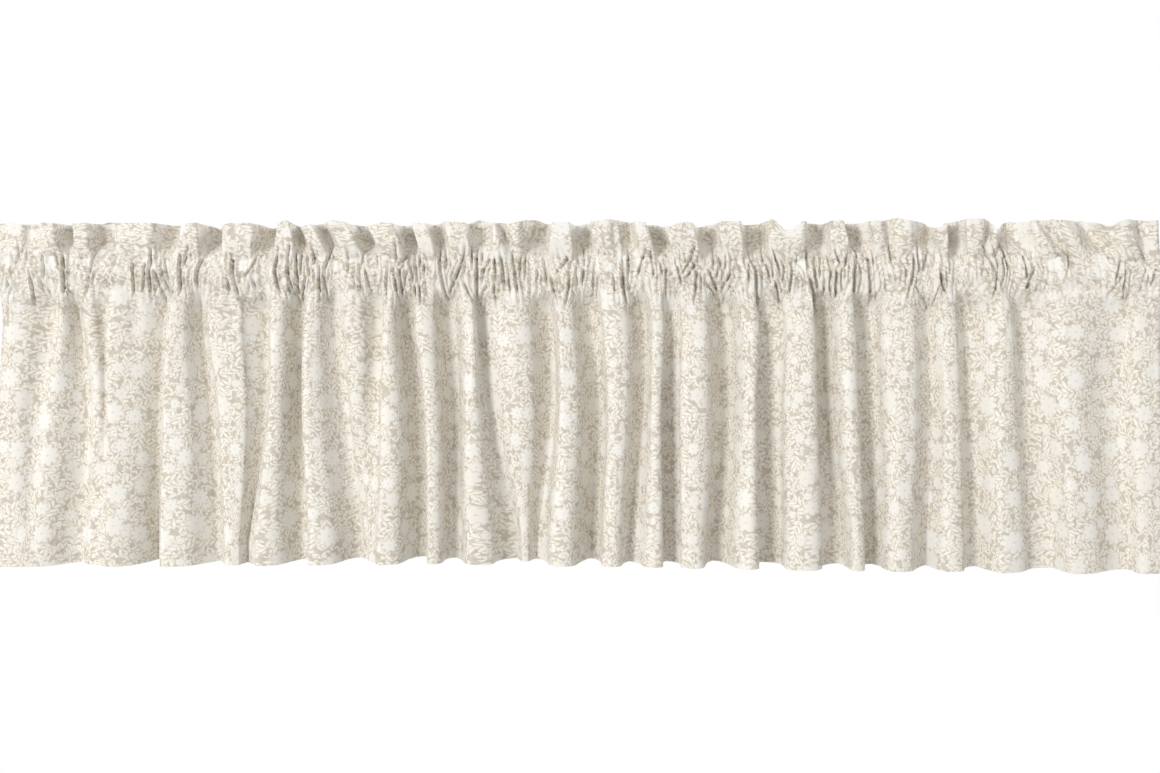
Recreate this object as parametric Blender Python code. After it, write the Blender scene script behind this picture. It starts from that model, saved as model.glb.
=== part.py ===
"""Gathered window valance with a frilled heading and a rod pocket, hanging in its folds.

One length of printed cotton. Its top is turned over to the back and sewn down with two rows of
stitches: the frill is above the upper row, the rod pocket between the rows, the skirt below.
Metres, +Z up. X runs along the width, the front faces -Y, and the origin is in the middle of
the top edge.
"""

from collections import namedtuple

import bmesh
import bpy
import numpy as np

# Heights of the parts of the cloth, measured down from the top edge
FRILL = 0.050
POCKET = 0.041
DROP = 0.446

# The cloth itself
SKIRT_THICK = 0.0015
FRILL_THICK = 0.0026
POCKET_WALL_THICK = 0.0012

# The pocket's front and back walls stand this far from the sheet's middle, and its walls begin
# and end this far inside the two rows of stitches
POCKET_HALF_DEPTH = 0.0122
POCKET_SHOULDER = 0.0045
APEX_INSET = 0.0024

# Gathers pressed into the heading by the rod, one at every column of the mesh
POCKET_PUCKER = 0.0030
SEAM_PUCKER = 0.0013
SKIRT_PUCKER = 0.0009

# Side edges, at the heights of FOLD_HEIGHTS
LEFT_EDGE = (-0.746, -0.744, -0.738, -0.743, -0.747)
RIGHT_EDGE = (0.744, 0.744, 0.745, 0.747, 0.749)
LEFT_EDGE_OUT = 0.005
RIGHT_EDGE_OUT = 0.006
LEFT_CREASE = -0.721
LEFT_CREASE_OUT = 0.011

# Heights at which the fold table gives a fold's place: top edge, frill, top, middle and foot of
# the skirt
FOLD_HEIGHTS = (0.0, -0.028, -0.115, -0.230, -0.415)

# One row for each fold, left to right. The fold's floor lies at frill_x, top_x, mid_x and low_x,
# and goes back by frill_in, top_in, mid_in and low_in. Right of it is a crest at crest_top,
# crest_mid and crest_low, which stands forward by out_top and out_low. A floor_wide above 1
# makes a broad floor, and below 1 a narrow one.
Fold = namedtuple(
    "Fold",
    "frill_x top_x mid_x low_x frill_in top_in mid_in low_in "
    "crest_top crest_mid crest_low out_top out_low floor_wide",
)
FOLDS = [
    Fold(-0.699, -0.696, -0.708, -0.714, 0.003, 0.008, 0.004, 0.000, -0.675, -0.682, -0.690, 0.010, 0.009, 1.0),
    Fold(-0.654, -0.650, -0.657, -0.667, 0.003, 0.014, 0.011, 0.012, -0.631, -0.628, -0.635, 0.013, 0.012, 0.9),
    Fold(-0.619, -0.615, -0.610, -0.608, 0.009, 0.011, 0.006, 0.001, -0.594, -0.597, -0.598, 0.014, 0.014, 0.8),
    Fold(-0.538, -0.543, -0.556, -0.557, 0.007, 0.011, 0.012, 0.021, -0.526, -0.532, -0.533, 0.015, 0.016, 1.0),
    Fold(-0.475, -0.491, -0.485, -0.482, 0.013, 0.020, 0.017, 0.013, -0.467, -0.461, -0.455, 0.015, 0.013, 0.8),
    Fold(-0.407, -0.415, -0.417, -0.433, 0.008, 0.020, 0.016, 0.008, -0.397, -0.397, -0.403, 0.015, 0.015, 0.8),
    Fold(-0.371, -0.367, -0.368, -0.365, 0.003, 0.024, 0.023, 0.021, -0.344, -0.349, -0.341, 0.016, 0.015, 1.2),
    Fold(-0.326, -0.325, -0.318, -0.302, 0.007, 0.016, 0.015, 0.020, -0.300, -0.298, -0.294, 0.012, -0.017, 0.9),
    Fold(-0.275, -0.271, -0.278, -0.286, 0.011, 0.019, 0.013, 0.020, -0.253, -0.246, -0.251, 0.015, 0.016, 0.8),
    Fold(-0.214, -0.228, -0.215, -0.212, 0.012, 0.024, 0.024, 0.024, -0.197, -0.191, -0.191, 0.016, 0.016, 1.2),
    Fold(-0.182, -0.176, -0.167, -0.168, 0.008, 0.022, 0.021, 0.020, -0.143, -0.142, -0.141, 0.017, 0.017, 1.0),
    Fold(-0.133, -0.127, -0.116, -0.101, 0.009, 0.020, 0.020, 0.024, -0.088, -0.079, -0.080, 0.015, 0.016, 1.1),
    Fold(-0.053, -0.051, -0.050, -0.064, 0.010, 0.022, 0.022, 0.022, -0.026, -0.024, -0.024, 0.017, 0.018, 1.2),
    Fold(0.002, 0.002, 0.008, 0.011, 0.011, 0.020, 0.024, 0.024, 0.041, 0.043, 0.041, 0.017, 0.017, 1.1),
    Fold(0.074, 0.074, 0.071, 0.061, 0.003, 0.020, 0.018, 0.017, 0.095, 0.088, 0.092, 0.015, 0.016, 0.8),
    Fold(0.098, 0.114, 0.111, 0.116, 0.008, 0.016, 0.020, 0.020, 0.143, 0.143, 0.146, 0.015, 0.016, 0.8),
    Fold(0.165, 0.177, 0.183, 0.177, 0.013, 0.022, 0.021, 0.022, 0.219, 0.221, 0.218, 0.018, 0.018, 1.1),
    Fold(0.221, 0.235, 0.235, 0.239, 0.013, 0.018, 0.022, 0.026, 0.285, 0.285, 0.285, 0.014, 0.015, 1.0),
    Fold(0.313, 0.311, 0.318, 0.323, 0.009, 0.024, 0.024, 0.024, 0.343, 0.345, 0.348, 0.017, 0.016, 1.2),
    Fold(0.349, 0.362, 0.367, 0.372, 0.008, 0.021, 0.021, 0.020, 0.410, 0.408, 0.408, 0.016, 0.017, 0.9),
    Fold(0.440, 0.429, 0.442, 0.435, 0.006, 0.013, 0.015, 0.018, 0.465, 0.471, 0.470, 0.013, 0.013, 0.9),
    Fold(0.471, 0.491, 0.498, 0.505, 0.008, 0.018, 0.015, 0.017, 0.538, 0.538, 0.538, 0.017, 0.016, 0.8),
    Fold(0.548, 0.561, 0.573, 0.583, 0.005, 0.010, 0.011, 0.014, 0.619, 0.622, 0.626, 0.017, 0.017, 0.9),
    Fold(0.680, 0.680, 0.664, 0.686, 0.002, 0.006, 0.008, 0.011, 0.709, 0.712, 0.712, 0.013, 0.013, 1.0),
]

# Small folds between the main ones: place, height, half width, half height, how far back they
# go, and how far they lean to the right for each metre down
Dent = namedtuple("Dent", "x z half_width half_height depth lean")
DENTS = [
    Dent(-0.595, -0.018, 0.008, 0.026, 0.008, 0.0),
    Dent(-0.574, -0.130, 0.009, 0.050, 0.004, 0.0),
    Dent(-0.101, -0.118, 0.008, 0.040, 0.007, 0.1),
    Dent(-0.095, -0.020, 0.008, 0.026, 0.009, 0.0),
    Dent(0.043, -0.018, 0.008, 0.026, 0.008, 0.1),
    Dent(0.260, -0.112, 0.008, 0.026, 0.007, 0.2),
    Dent(0.290, -0.018, 0.008, 0.026, 0.006, 0.0),
    Dent(0.394, -0.020, 0.008, 0.026, 0.009, 0.0),
    Dent(0.521, -0.016, 0.009, 0.026, 0.011, 0.3),
    Dent(0.609, -0.036, 0.008, 0.026, 0.006, 0.7),
    Dent(0.720, -0.036, 0.009, 0.026, 0.007, 0.6),
]

# Low places of the top edge: place, half width and how far down
Dip = namedtuple("Dip", "x half_width down")
EDGE_LEVEL = -0.0025
EDGE_DIPS = [
    Dip(-0.407, 0.010, 0.005),
    Dip(-0.352, 0.012, 0.005),
    Dip(-0.275, 0.010, 0.003),
    Dip(-0.214, 0.010, 0.004),
    Dip(-0.095, 0.011, 0.004),
    Dip(-0.024, 0.010, 0.003),
    Dip(0.098, 0.012, 0.005),
    Dip(0.266, 0.010, 0.008),
    Dip(0.388, 0.010, 0.004),
    Dip(0.465, 0.010, 0.006),
    Dip(0.538, 0.010, 0.009),
    Dip(0.599, 0.010, 0.003),
    Dip(0.684, 0.012, 0.004),
]

# The hem's height at the left end, a little left of the middle, and the right end. The folds
# that come forward also hang a little lower.
HEM_PLACES = (-0.745, -0.150, 0.745)
HEM_HEIGHTS = (-0.444, -0.440, -0.452)
HEM_SWING = 0.12

# How steep the sides of a fold are: 0 is a plain wave, 1 stands straight back
FOLD_STEEPNESS = 0.55

# How much of a fold's depth is left at each height of the sheet
DEPTH_HEIGHTS = (-0.091, -0.100, -0.115, -0.140, -0.445)
DEPTH_SHARES = (0.22, 0.55, 0.85, 1.0, 1.0)

# Mesh steps from one fold's floor to its crest, and rows down the skirt
STEPS_TO_CREST = 3
SKIRT_ROWS = (-0.100, -0.122, -0.165, -0.225, -0.305, -0.385)

CLOTH_COLOUR = (0.66, 0.61, 0.54, 1.0)
CLOTH_ROUGHNESS = 0.88


def clear_scene():
    for thing in list(bpy.data.objects):
        bpy.data.objects.remove(thing, do_unlink=True)


def smooth_through(height, heights, values):
    """Reads a smooth curve that passes through values at heights (falling), level past the ends."""
    knots = -np.array(heights)
    values = np.array(values)
    slopes = np.gradient(values, knots)
    at = np.clip(-height, knots[0], knots[-1])
    left = int(np.clip(np.searchsorted(knots, at, side="right") - 1, 0, len(knots) - 2))
    span = knots[left + 1] - knots[left]
    part = (at - knots[left]) / span
    rise = part * part * (3 - 2 * part)
    lean_out = part * (1 - part) ** 2 * span * slopes[left]
    lean_in = part * part * (part - 1) * span * slopes[left + 1]
    return values[left] * (1 - rise) + values[left + 1] * rise + lean_out + lean_in


def control_points(height):
    """The crests and floors across the cloth at one height: x, y and how broad each floor is."""
    in_frill = height > -FRILL
    share = 1.0 if in_frill else np.interp(-height, -np.array(DEPTH_HEIGHTS), DEPTH_SHARES)
    frill_share = np.interp(-height, (0.0, 0.028, FRILL), (1.2, 1.0, 0.15))
    points = [
        (smooth_through(height, FOLD_HEIGHTS, LEFT_EDGE), -LEFT_EDGE_OUT * share, 1.0),
        (LEFT_CREASE, -LEFT_CREASE_OUT * share, 1.0),
    ]
    if in_frill:
        points = [(x, y * 0.4 * frill_share, wide) for x, y, wide in points]
    for place, fold in enumerate(FOLDS):
        following = FOLDS[place + 1] if place + 1 < len(FOLDS) else None
        next_frill = following.frill_x if following else 0.724
        crest_frill = (fold.frill_x + next_frill) / 2
        floor_places = (fold.frill_x, fold.frill_x, fold.top_x, fold.mid_x, fold.low_x)
        crest_places = (crest_frill, crest_frill, fold.crest_top, fold.crest_mid, fold.crest_low)
        floor_x = smooth_through(height, FOLD_HEIGHTS, floor_places)
        crest_x = smooth_through(height, FOLD_HEIGHTS, crest_places)
        if in_frill:
            floor_y = fold.frill_in * frill_share
            crest_y = -0.006 * frill_share
        else:
            depths = (fold.top_in, fold.mid_in, fold.low_in)
            floor_y = smooth_through(height, FOLD_HEIGHTS[2:], depths) * share
            forward = np.interp(-height, (0.115, 0.415), (fold.out_top, fold.out_low))
            crest_y = -forward * share
        points.append((floor_x, floor_y, fold.floor_wide))
        points.append((crest_x, crest_y, 1.0))
    right_x = smooth_through(height, FOLD_HEIGHTS, RIGHT_EDGE)
    right_out = RIGHT_EDGE_OUT * (0.4 * frill_share if in_frill else share)
    points.append((right_x, -right_out, 1.0))
    return points


def half_fold(start, end, part):
    """A point part of the way from one control point to the next one."""
    forward_part = part
    if start[1] > end[1]:
        forward_part = part ** start[2]
    elif end[1] > start[1]:
        forward_part = 1 - (1 - part) ** end[2]
    swing = (1 - np.cos(np.pi * forward_part)) / 2
    along = part + FOLD_STEEPNESS * np.sin(2 * np.pi * part) / (2 * np.pi)
    x = start[0] + (end[0] - start[0]) * along
    y = start[1] + (end[1] - start[1]) * swing
    return x, y


def sheet_line(height):
    """The middle of the sheet at one height, as an array of x and y, one row for each column."""
    points = control_points(height)
    line = []
    for start, end in zip(points, points[1:]):
        for step in range(STEPS_TO_CREST):
            line.append(half_fold(start, end, step / STEPS_TO_CREST))
    line.append(points[-1][:2])
    line = np.array(line)
    for dent in DENTS:
        centre = dent.x + dent.lean * (dent.z - height)
        across = (line[:, 0] - centre) / dent.half_width
        down = (height - dent.z) / dent.half_height
        line[:, 1] += dent.depth * np.exp(-across**2 - down**2)
    return line


def puckers(columns, turn):
    """Gathers that go in and out from column to column, stronger and weaker along the rod."""
    numbers = np.arange(columns)
    strength = 0.72 + 0.28 * np.sin(numbers * 1.7 + turn)
    return np.where(numbers % 2 == 0, -1.0, 1.0) * strength


def outward(line):
    """Unit directions at right angles to a line across the cloth, pointing back."""
    along = np.gradient(line, axis=0)
    along /= np.linalg.norm(along, axis=1)[:, None]
    return np.column_stack((-along[:, 1], along[:, 0]))


def with_height(line, height):
    return np.column_stack((line, np.broadcast_to(height, len(line))))


def sheet_rows(height, thick, pucker=0.0, real_height=None):
    """Front and back rows of points of the sheet at one height."""
    line = sheet_line(height)
    line[:, 1] += pucker * puckers(len(line), 0.4)
    away = outward(line) * thick / 2
    tall = height if real_height is None else real_height(line)
    return with_height(line - away, tall), with_height(line + away, tall)


def top_edge_height(line):
    height = np.full(len(line), EDGE_LEVEL)
    for dip in EDGE_DIPS:
        height -= dip.down * np.exp(-(((line[:, 0] - dip.x) / dip.half_width) ** 2))
    return height - 0.12 * np.clip(line[:, 1], 0, None)


def hem_height(line):
    level = np.interp(line[:, 0], HEM_PLACES, HEM_HEIGHTS)
    return level + HEM_SWING * line[:, 1]


def pocket_rows(height):
    """Outer front, inner front, inner back and outer back rows at a height inside the pocket."""
    line = sheet_line(height)
    line[:, 1] = 0
    front = line.copy()
    front[:, 1] = -POCKET_HALF_DEPTH + POCKET_PUCKER * puckers(len(line), 0.4)
    back = line.copy()
    back[:, 1] = POCKET_HALF_DEPTH - POCKET_PUCKER * puckers(len(line), 2.1)
    rows = []
    for wall, side in ((front, -1), (front, 1), (back, -1), (back, 1)):
        rows.append(with_height(wall + outward(wall) * side * POCKET_WALL_THICK / 2, height))
    return rows


def apex_row(height):
    """Where the pocket's hollow ends at a row of stitches."""
    line = sheet_line(height)
    line[:, 1] = SEAM_PUCKER * puckers(len(line), 0.4) * 0.5
    return with_height(line, height)


def build_cloth():
    """The whole cloth as one closed mesh, with the rod pocket open at both ends."""
    mesh = bmesh.new()

    def add_row(points):
        return [mesh.verts.new(point) for point in points]

    def add_strip(upper, lower):
        for place in range(len(upper) - 1):
            corners = (upper[place], lower[place], lower[place + 1], upper[place + 1])
            mesh.faces.new(corners)

    upper_seam = -FRILL
    lower_seam = -FRILL - POCKET
    sheet = [
        sheet_rows(0.0, FRILL_THICK, real_height=top_edge_height),
        sheet_rows(-FRILL * 0.52, FRILL_THICK, SEAM_PUCKER),
        sheet_rows(upper_seam, FRILL_THICK, SEAM_PUCKER),
    ]
    pocket = [pocket_rows(upper_seam - POCKET_SHOULDER), pocket_rows(lower_seam + POCKET_SHOULDER)]
    skirt = [sheet_rows(lower_seam, FRILL_THICK, SEAM_PUCKER)]
    for place, height in enumerate(SKIRT_ROWS):
        skirt.append(sheet_rows(height, SKIRT_THICK, SKIRT_PUCKER * 0.5**place))
    skirt.append(sheet_rows(-DROP, SKIRT_THICK, real_height=hem_height))

    front = [add_row(rows[0]) for rows in sheet]
    back = [add_row(rows[1]) for rows in sheet]
    front += [add_row(rows[0]) for rows in pocket]
    back += [add_row(rows[3]) for rows in pocket]
    front += [add_row(rows[0]) for rows in skirt]
    back += [add_row(rows[1]) for rows in skirt]
    top_apex = add_row(apex_row(upper_seam - APEX_INSET))
    low_apex = add_row(apex_row(lower_seam + APEX_INSET))
    inner_front = [top_apex, *(add_row(rows[1]) for rows in pocket), low_apex]
    inner_back = [top_apex, *(add_row(rows[2]) for rows in pocket), low_apex]

    for rows in (front, back, inner_front, inner_back):
        for upper, lower in zip(rows, rows[1:]):
            add_strip(upper, lower)
    add_strip(back[0], front[0])
    add_strip(front[-1], back[-1])

    first_pocket_row = len(sheet) - 1
    last_pocket_row = first_pocket_row + len(inner_front) - 1
    for end in (0, -1):
        for place in range(len(front) - 1):
            outer_front = (front[place][end], front[place + 1][end])
            outer_back = (back[place][end], back[place + 1][end])
            if first_pocket_row <= place < last_pocket_row:
                deep = place - first_pocket_row
                hollow_front = (inner_front[deep + 1][end], inner_front[deep][end])
                hollow_back = (inner_back[deep + 1][end], inner_back[deep][end])
                mesh.faces.new(outer_front + hollow_front)
                mesh.faces.new(outer_back + hollow_back)
            else:
                mesh.faces.new(outer_front + outer_back[::-1])
        mesh.faces.new((front[first_pocket_row][end], top_apex[end], back[first_pocket_row][end]))
        mesh.faces.new((front[last_pocket_row][end], low_apex[end], back[last_pocket_row][end]))

    bmesh.ops.recalc_face_normals(mesh, faces=mesh.faces)
    return mesh


def printed_cotton():
    material = bpy.data.materials.new("printed_cotton")
    material.use_nodes = True
    shader = material.node_tree.nodes["Principled BSDF"]
    shader.inputs["Base Color"].default_value = CLOTH_COLOUR
    shader.inputs["Roughness"].default_value = CLOTH_ROUGHNESS
    shader.inputs["Metallic"].default_value = 0.0
    return material


def add_valance_cloth():
    mesh = build_cloth()
    data = bpy.data.meshes.new("valance_cloth")
    mesh.to_mesh(data)
    mesh.free()
    data.shade_smooth()
    data.materials.append(printed_cotton())
    cloth = bpy.data.objects.new("valance_cloth", data)
    bpy.context.collection.objects.link(cloth)
    return cloth


clear_scene()
add_valance_cloth()
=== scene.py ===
"""Looks of the gathered window valance: one printed cotton cloth with its gathers, and its stitches.

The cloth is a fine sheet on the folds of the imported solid. Metres, +Z up, the front faces -Y,
and the origin is in the middle of the top edge.
"""

import math
from collections import namedtuple

import bpy
import numpy as np
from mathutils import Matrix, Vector

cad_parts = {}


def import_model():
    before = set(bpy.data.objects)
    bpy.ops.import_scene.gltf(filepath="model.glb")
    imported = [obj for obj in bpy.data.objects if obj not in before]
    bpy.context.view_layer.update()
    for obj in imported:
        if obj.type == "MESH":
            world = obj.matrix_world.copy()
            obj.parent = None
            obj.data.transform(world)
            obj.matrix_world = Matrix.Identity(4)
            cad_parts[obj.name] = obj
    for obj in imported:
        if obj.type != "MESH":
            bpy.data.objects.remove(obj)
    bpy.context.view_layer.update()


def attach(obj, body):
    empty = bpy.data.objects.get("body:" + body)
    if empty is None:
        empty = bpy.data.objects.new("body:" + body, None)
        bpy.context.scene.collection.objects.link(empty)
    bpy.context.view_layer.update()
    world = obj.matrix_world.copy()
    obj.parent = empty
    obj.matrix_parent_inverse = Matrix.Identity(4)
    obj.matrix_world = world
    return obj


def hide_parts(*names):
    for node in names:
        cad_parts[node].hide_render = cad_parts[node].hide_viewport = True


# Heights of the parts of the cloth, as in the solid
FRILL = 0.05
POCKET = 0.041
DROP = 0.446
UPPER_SEAM = -FRILL
LOWER_SEAM = -FRILL - POCKET

# Thickness of the skirt, of the frill's two layers, of a wall of the pocket, and of the hem
SKIRT_THICK = 0.0009
FRILL_THICK = 0.002
POCKET_WALL_THICK = 0.0009
HEM_THICK = 0.0014
HEM_DEEP = 0.026
POCKET_HALF_DEPTH = 0.0132
APEX_INSET = 0.0024
POCKET_SHOULDER = 0.0045
HOLLOW_HALF_DEPTH = 0.0082
LEAST_WALL_DEPTH = 0.0092

# Side edges, at the heights of FOLD_HEIGHTS
LEFT_EDGE = (-0.746, -0.744, -0.738, -0.743, -0.747)
RIGHT_EDGE = (0.744, 0.744, 0.745, 0.747, 0.749)
LEFT_EDGE_OUT = 0.009
RIGHT_EDGE_OUT = 0.011
LEFT_CREASE = -0.721
LEFT_CREASE_OUT = 0.011

# Heights at which the fold tables give a fold's place: top edge and foot of the frill, and top,
# middle and foot of the skirt
FOLD_HEIGHTS = (0.0, -0.046, -0.115, -0.23, -0.415)

# The folds of the skirt, on those of the solid, one row each, left to right. The floor of a
# fold lies at top_x to low_x and goes back by top_in to low_in. The crest right of it stands
# forward by out_top and out_low. A floor_wide above 1 makes a broad floor. The flanks left and
# right of the floor are even slopes at 0, and hang over a little above 1.
Fold = namedtuple(
    "Fold",
    "top_x mid_x low_x top_in mid_in low_in crest_top crest_mid crest_low out_top out_low "
    "floor_wide left_flank right_flank",
)
FOLDS = [Fold(*row) for row in (
    (-0.672, -0.689, -0.706, 0.008, 0.001, -0.01, -0.664, -0.676, -0.693, 0.01, 0.01, 1.0, 0.3, 0.3),
    (-0.645, -0.635, -0.643, 0.018, 0.013, 0.015, -0.627, -0.617, -0.622, 0.013, 0.002, 0.8, 0.1, 0.3),
    (-0.609, -0.606, -0.607, 0.006, -0.001, -0.009, -0.593, -0.596, -0.598, 0.014, 0.014, 0.7, 0.5, 1.2),
    (-0.531, -0.539, -0.546, 0.017, 0.015, 0.027, -0.517, -0.52, -0.524, 0.015, 0.016, 0.5, 0.0, 1.1),
    (-0.487, -0.475, -0.463, 0.021, 0.019, 0.016, -0.462, -0.45, -0.443, 0.014, 0.012, 0.5, 0.4, 0.7),
    (-0.4, -0.401, -0.426, 0.021, 0.018, 0.007, -0.386, -0.389, -0.401, 0.015, 0.015, 0.42, 0.8, 1.0),
    (-0.358, -0.36, -0.356, 0.024, 0.024, 0.022, -0.342, -0.348, -0.335, 0.016, 0.015, 0.7, 0.2, 1.3),
    (-0.313, -0.302, -0.282, 0.016, 0.017, 0.028, -0.292, -0.289, -0.274, 0.014, -0.018, 0.8, 0.4, 0.3),
    (-0.255, -0.261, -0.268, 0.019, 0.011, 0.006, -0.244, -0.243, -0.249, 0.015, 0.016, 0.7, 0.5, 0.6),
    (-0.222, -0.206, -0.201, 0.027, 0.028, 0.032, -0.199, -0.191, -0.187, 0.016, 0.014, 0.8, 0.5, 0.8),
    (-0.169, -0.162, -0.16, 0.026, 0.028, 0.022, -0.138, -0.138, -0.136, 0.017, 0.017, 0.9, 0.7, 0.4),
    (-0.128, -0.119, -0.08, 0.02, 0.018, 0.026, -0.084, -0.079, -0.071, 0.015, -0.006, 0.7, 0.8, 0.1),
    (-0.037, -0.032, -0.054, 0.027, 0.029, 0.024, -0.022, -0.018, -0.021, 0.017, 0.018, 0.7, 0.4, 0.6),
    (0.013, 0.024, 0.017, 0.024, 0.03, 0.031, 0.046, 0.048, 0.044, 0.017, 0.016, 0.7, 0.4, 1.0),
    (0.084, 0.084, 0.066, 0.022, 0.02, 0.019, 0.098, 0.1, 0.1, 0.015, 0.015, 0.7, 0.5, 0.5),
    (0.117, 0.11, 0.114, 0.012, 0.023, 0.023, 0.148, 0.151, 0.151, 0.015, 0.016, 0.8, 1.3, 1.2),
    (0.187, 0.19, 0.176, 0.03, 0.032, 0.03, 0.22, 0.223, 0.22, 0.018, 0.016, 0.8, 0.6, 0.4),
    (0.238, 0.234, 0.241, 0.012, 0.022, 0.027, 0.29, 0.293, 0.289, 0.016, 0.017, 1.0, 1.4, 0.9),
    (0.315, 0.318, 0.338, 0.027, 0.028, 0.026, 0.342, 0.347, 0.356, 0.017, 0.017, 0.9, 0.8, 0.4),
    (0.364, 0.37, 0.378, 0.024, 0.024, 0.025, 0.411, 0.411, 0.41, 0.017, 0.017, 0.9, 1.1, 0.6),
    (0.451, 0.457, 0.45, 0.01, 0.015, 0.021, 0.471, 0.478, 0.478, 0.013, 0.014, 0.6, 0.4, 0.4),
    (0.499, 0.504, 0.513, 0.019, 0.016, 0.019, 0.542, 0.542, 0.541, 0.017, 0.017, 0.8, 0.7, 0.2),
    (0.571, 0.585, 0.611, 0.014, 0.013, 0.015, 0.621, 0.624, 0.634, 0.018, 0.018, 1.0, 0.5, 0.2),
    (0.702, 0.694, 0.708, 0.004, 0.007, 0.012, 0.717, 0.72, 0.724, 0.013, 0.014, 0.85, 0.3, 0.3),
)]

# The same folds in the frill: place at the top edge and at the seam, how far back the floor
# goes, how broad the floor is, and the flanks left and right of it. The row past the last fold
# only places the last crest, halfway to it.
FrillFold = namedtuple("FrillFold", "edge_x seam_x deep wide left_flank right_flank")
FRILL_FOLDS = [FrillFold(*row) for row in (
    (-0.7, -0.698, 0.002, 1.0, 0.3, 0.3),
    (-0.656, -0.652, 0.01, 0.6, 0.2, 0.5),
    (-0.616, -0.614, 0.01, 0.6, 0.5, 1.2),
    (-0.516, -0.524, 0.013, 0.5, 0.5, 0.8),
    (-0.476, -0.474, 0.024, 0.6, 0.9, 1.3),
    (-0.39, -0.4, 0.018, 0.55, 0.6, 1.1),
    (-0.362, -0.351, 0.008, 0.6, 0.9, 0.6),
    (-0.334, -0.314, 0.011, 0.6, 0.6, 0.6),
    (-0.284, -0.267, 0.024, 0.6, 0.9, 1.3),
    (-0.222, -0.211, 0.024, 0.6, 0.9, 1.3),
    (-0.185, -0.174, 0.011, 0.6, 0.7, 0.6),
    (-0.131, -0.128, 0.012, 0.6, 1.1, 0.8),
    (-0.044, -0.051, 0.023, 0.6, 0.9, 1.2),
    (0.0, 0.008, 0.023, 0.6, 0.9, 1.3),
    (0.066, 0.07, 0.006, 0.6, 0.5, 0.5),
    (0.092, 0.106, 0.022, 0.6, 0.9, 1.3),
    (0.166, 0.173, 0.024, 0.6, 0.9, 1.3),
    (0.222, 0.224, 0.024, 0.6, 0.9, 1.3),
    (0.314, 0.312, 0.022, 0.5, 1.1, 1.1),
    (0.346, 0.358, 0.019, 0.5, 1.1, 0.9),
    (0.452, 0.449, 0.014, 0.45, 0.5, 0.8),
    (0.476, 0.48, 0.019, 0.5, 1.0, 1.1),
    (0.556, 0.556, 0.012, 0.55, 0.5, 0.7),
    (0.65, 0.68, 0.008, 0.6, 0.3, 0.3),
    (0.724, 0.724, 0.0, 1.0, 0.0, 0.0),
)]
FRILL_CREST_OUT = 0.015

# Small folds between the main ones: place, height, half width, half height, how far back they
# go, and how far they lean to the right for each metre down
Dent = namedtuple("Dent", "x z half_width half_height depth lean")
DENTS = [Dent(*row) for row in (
    (-0.595, -0.02, 0.006, 0.026, 0.014, 0.1),
    (-0.569, -0.125, 0.008, 0.045, 0.004, 0.0),
    (-0.455, -0.018, 0.005, 0.024, 0.01, 0.0),
    (-0.446, -0.112, 0.006, 0.03, 0.004, 0.1),
    (-0.099, -0.118, 0.008, 0.04, 0.007, 0.1),
    (-0.094, -0.018, 0.007, 0.026, 0.022, 0.35),
    (-0.07, -0.02, 0.005, 0.024, 0.012, 0.0),
    (0.047, -0.022, 0.005, 0.026, 0.008, 0.1),
    (0.239, -0.02, 0.005, 0.026, 0.012, 0.0),
    (0.264, -0.112, 0.008, 0.026, 0.007, 0.2),
    (0.294, -0.018, 0.006, 0.026, 0.007, -0.1),
    (0.397, -0.018, 0.007, 0.026, 0.016, 0.1),
    (0.524, -0.018, 0.006, 0.026, 0.018, -0.15),
    (0.531, -0.12, 0.006, 0.03, 0.005, 0.0),
    (0.608, -0.026, 0.007, 0.024, 0.014, 0.8),
    (0.6, -0.125, 0.007, 0.03, 0.005, 0.3),
    (0.719, -0.022, 0.008, 0.026, 0.014, 0.3),
)]

# The top edge: its level at places from left to right, and its low places, or high ones where
# down is negative, with their half width
EDGE_LEVELS = (
    (-0.745, -0.0068), (-0.4, -0.0068), (-0.1, -0.0052), (0.2, -0.0045), (0.5, -0.003), (0.745, -0.002),
)
Dip = namedtuple("Dip", "x half_width down")
EDGE_DIPS = [Dip(*row) for row in (
    (-0.605, 0.01, -0.004),
    (-0.466, 0.007, 0.0035),
    (-0.399, 0.012, 0.003),
    (-0.374, 0.007, -0.004),
    (-0.353, 0.009, 0.0045),
    (-0.312, 0.016, -0.0035),
    (-0.266, 0.009, 0.0045),
    (-0.206, 0.008, 0.001),
    (-0.127, 0.009, -0.005),
    (-0.086, 0.008, 0.0025),
    (-0.055, 0.014, -0.006),
    (0.04, 0.018, -0.0035),
    (0.116, 0.012, 0.0055),
    (0.153, 0.008, 0.0045),
    (0.244, 0.007, -0.0025),
    (0.267, 0.011, 0.013),
    (0.405, 0.012, -0.0028),
    (0.46, 0.009, 0.01),
    (0.506, 0.018, -0.0025),
    (0.537, 0.008, 0.011),
    (0.676, 0.01, 0.008),
)]

# The hem's height at places from left to right. It is felt from a height on down, and its back
# parts hang higher by a share of their depth.
HEM_LEVELS = ((-0.745, -0.4445), (-0.15, -0.44), (0.3, -0.448), (0.745, -0.453))
HEM_FELT_FROM = -0.2
HEM_SWING = 0.12

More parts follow.
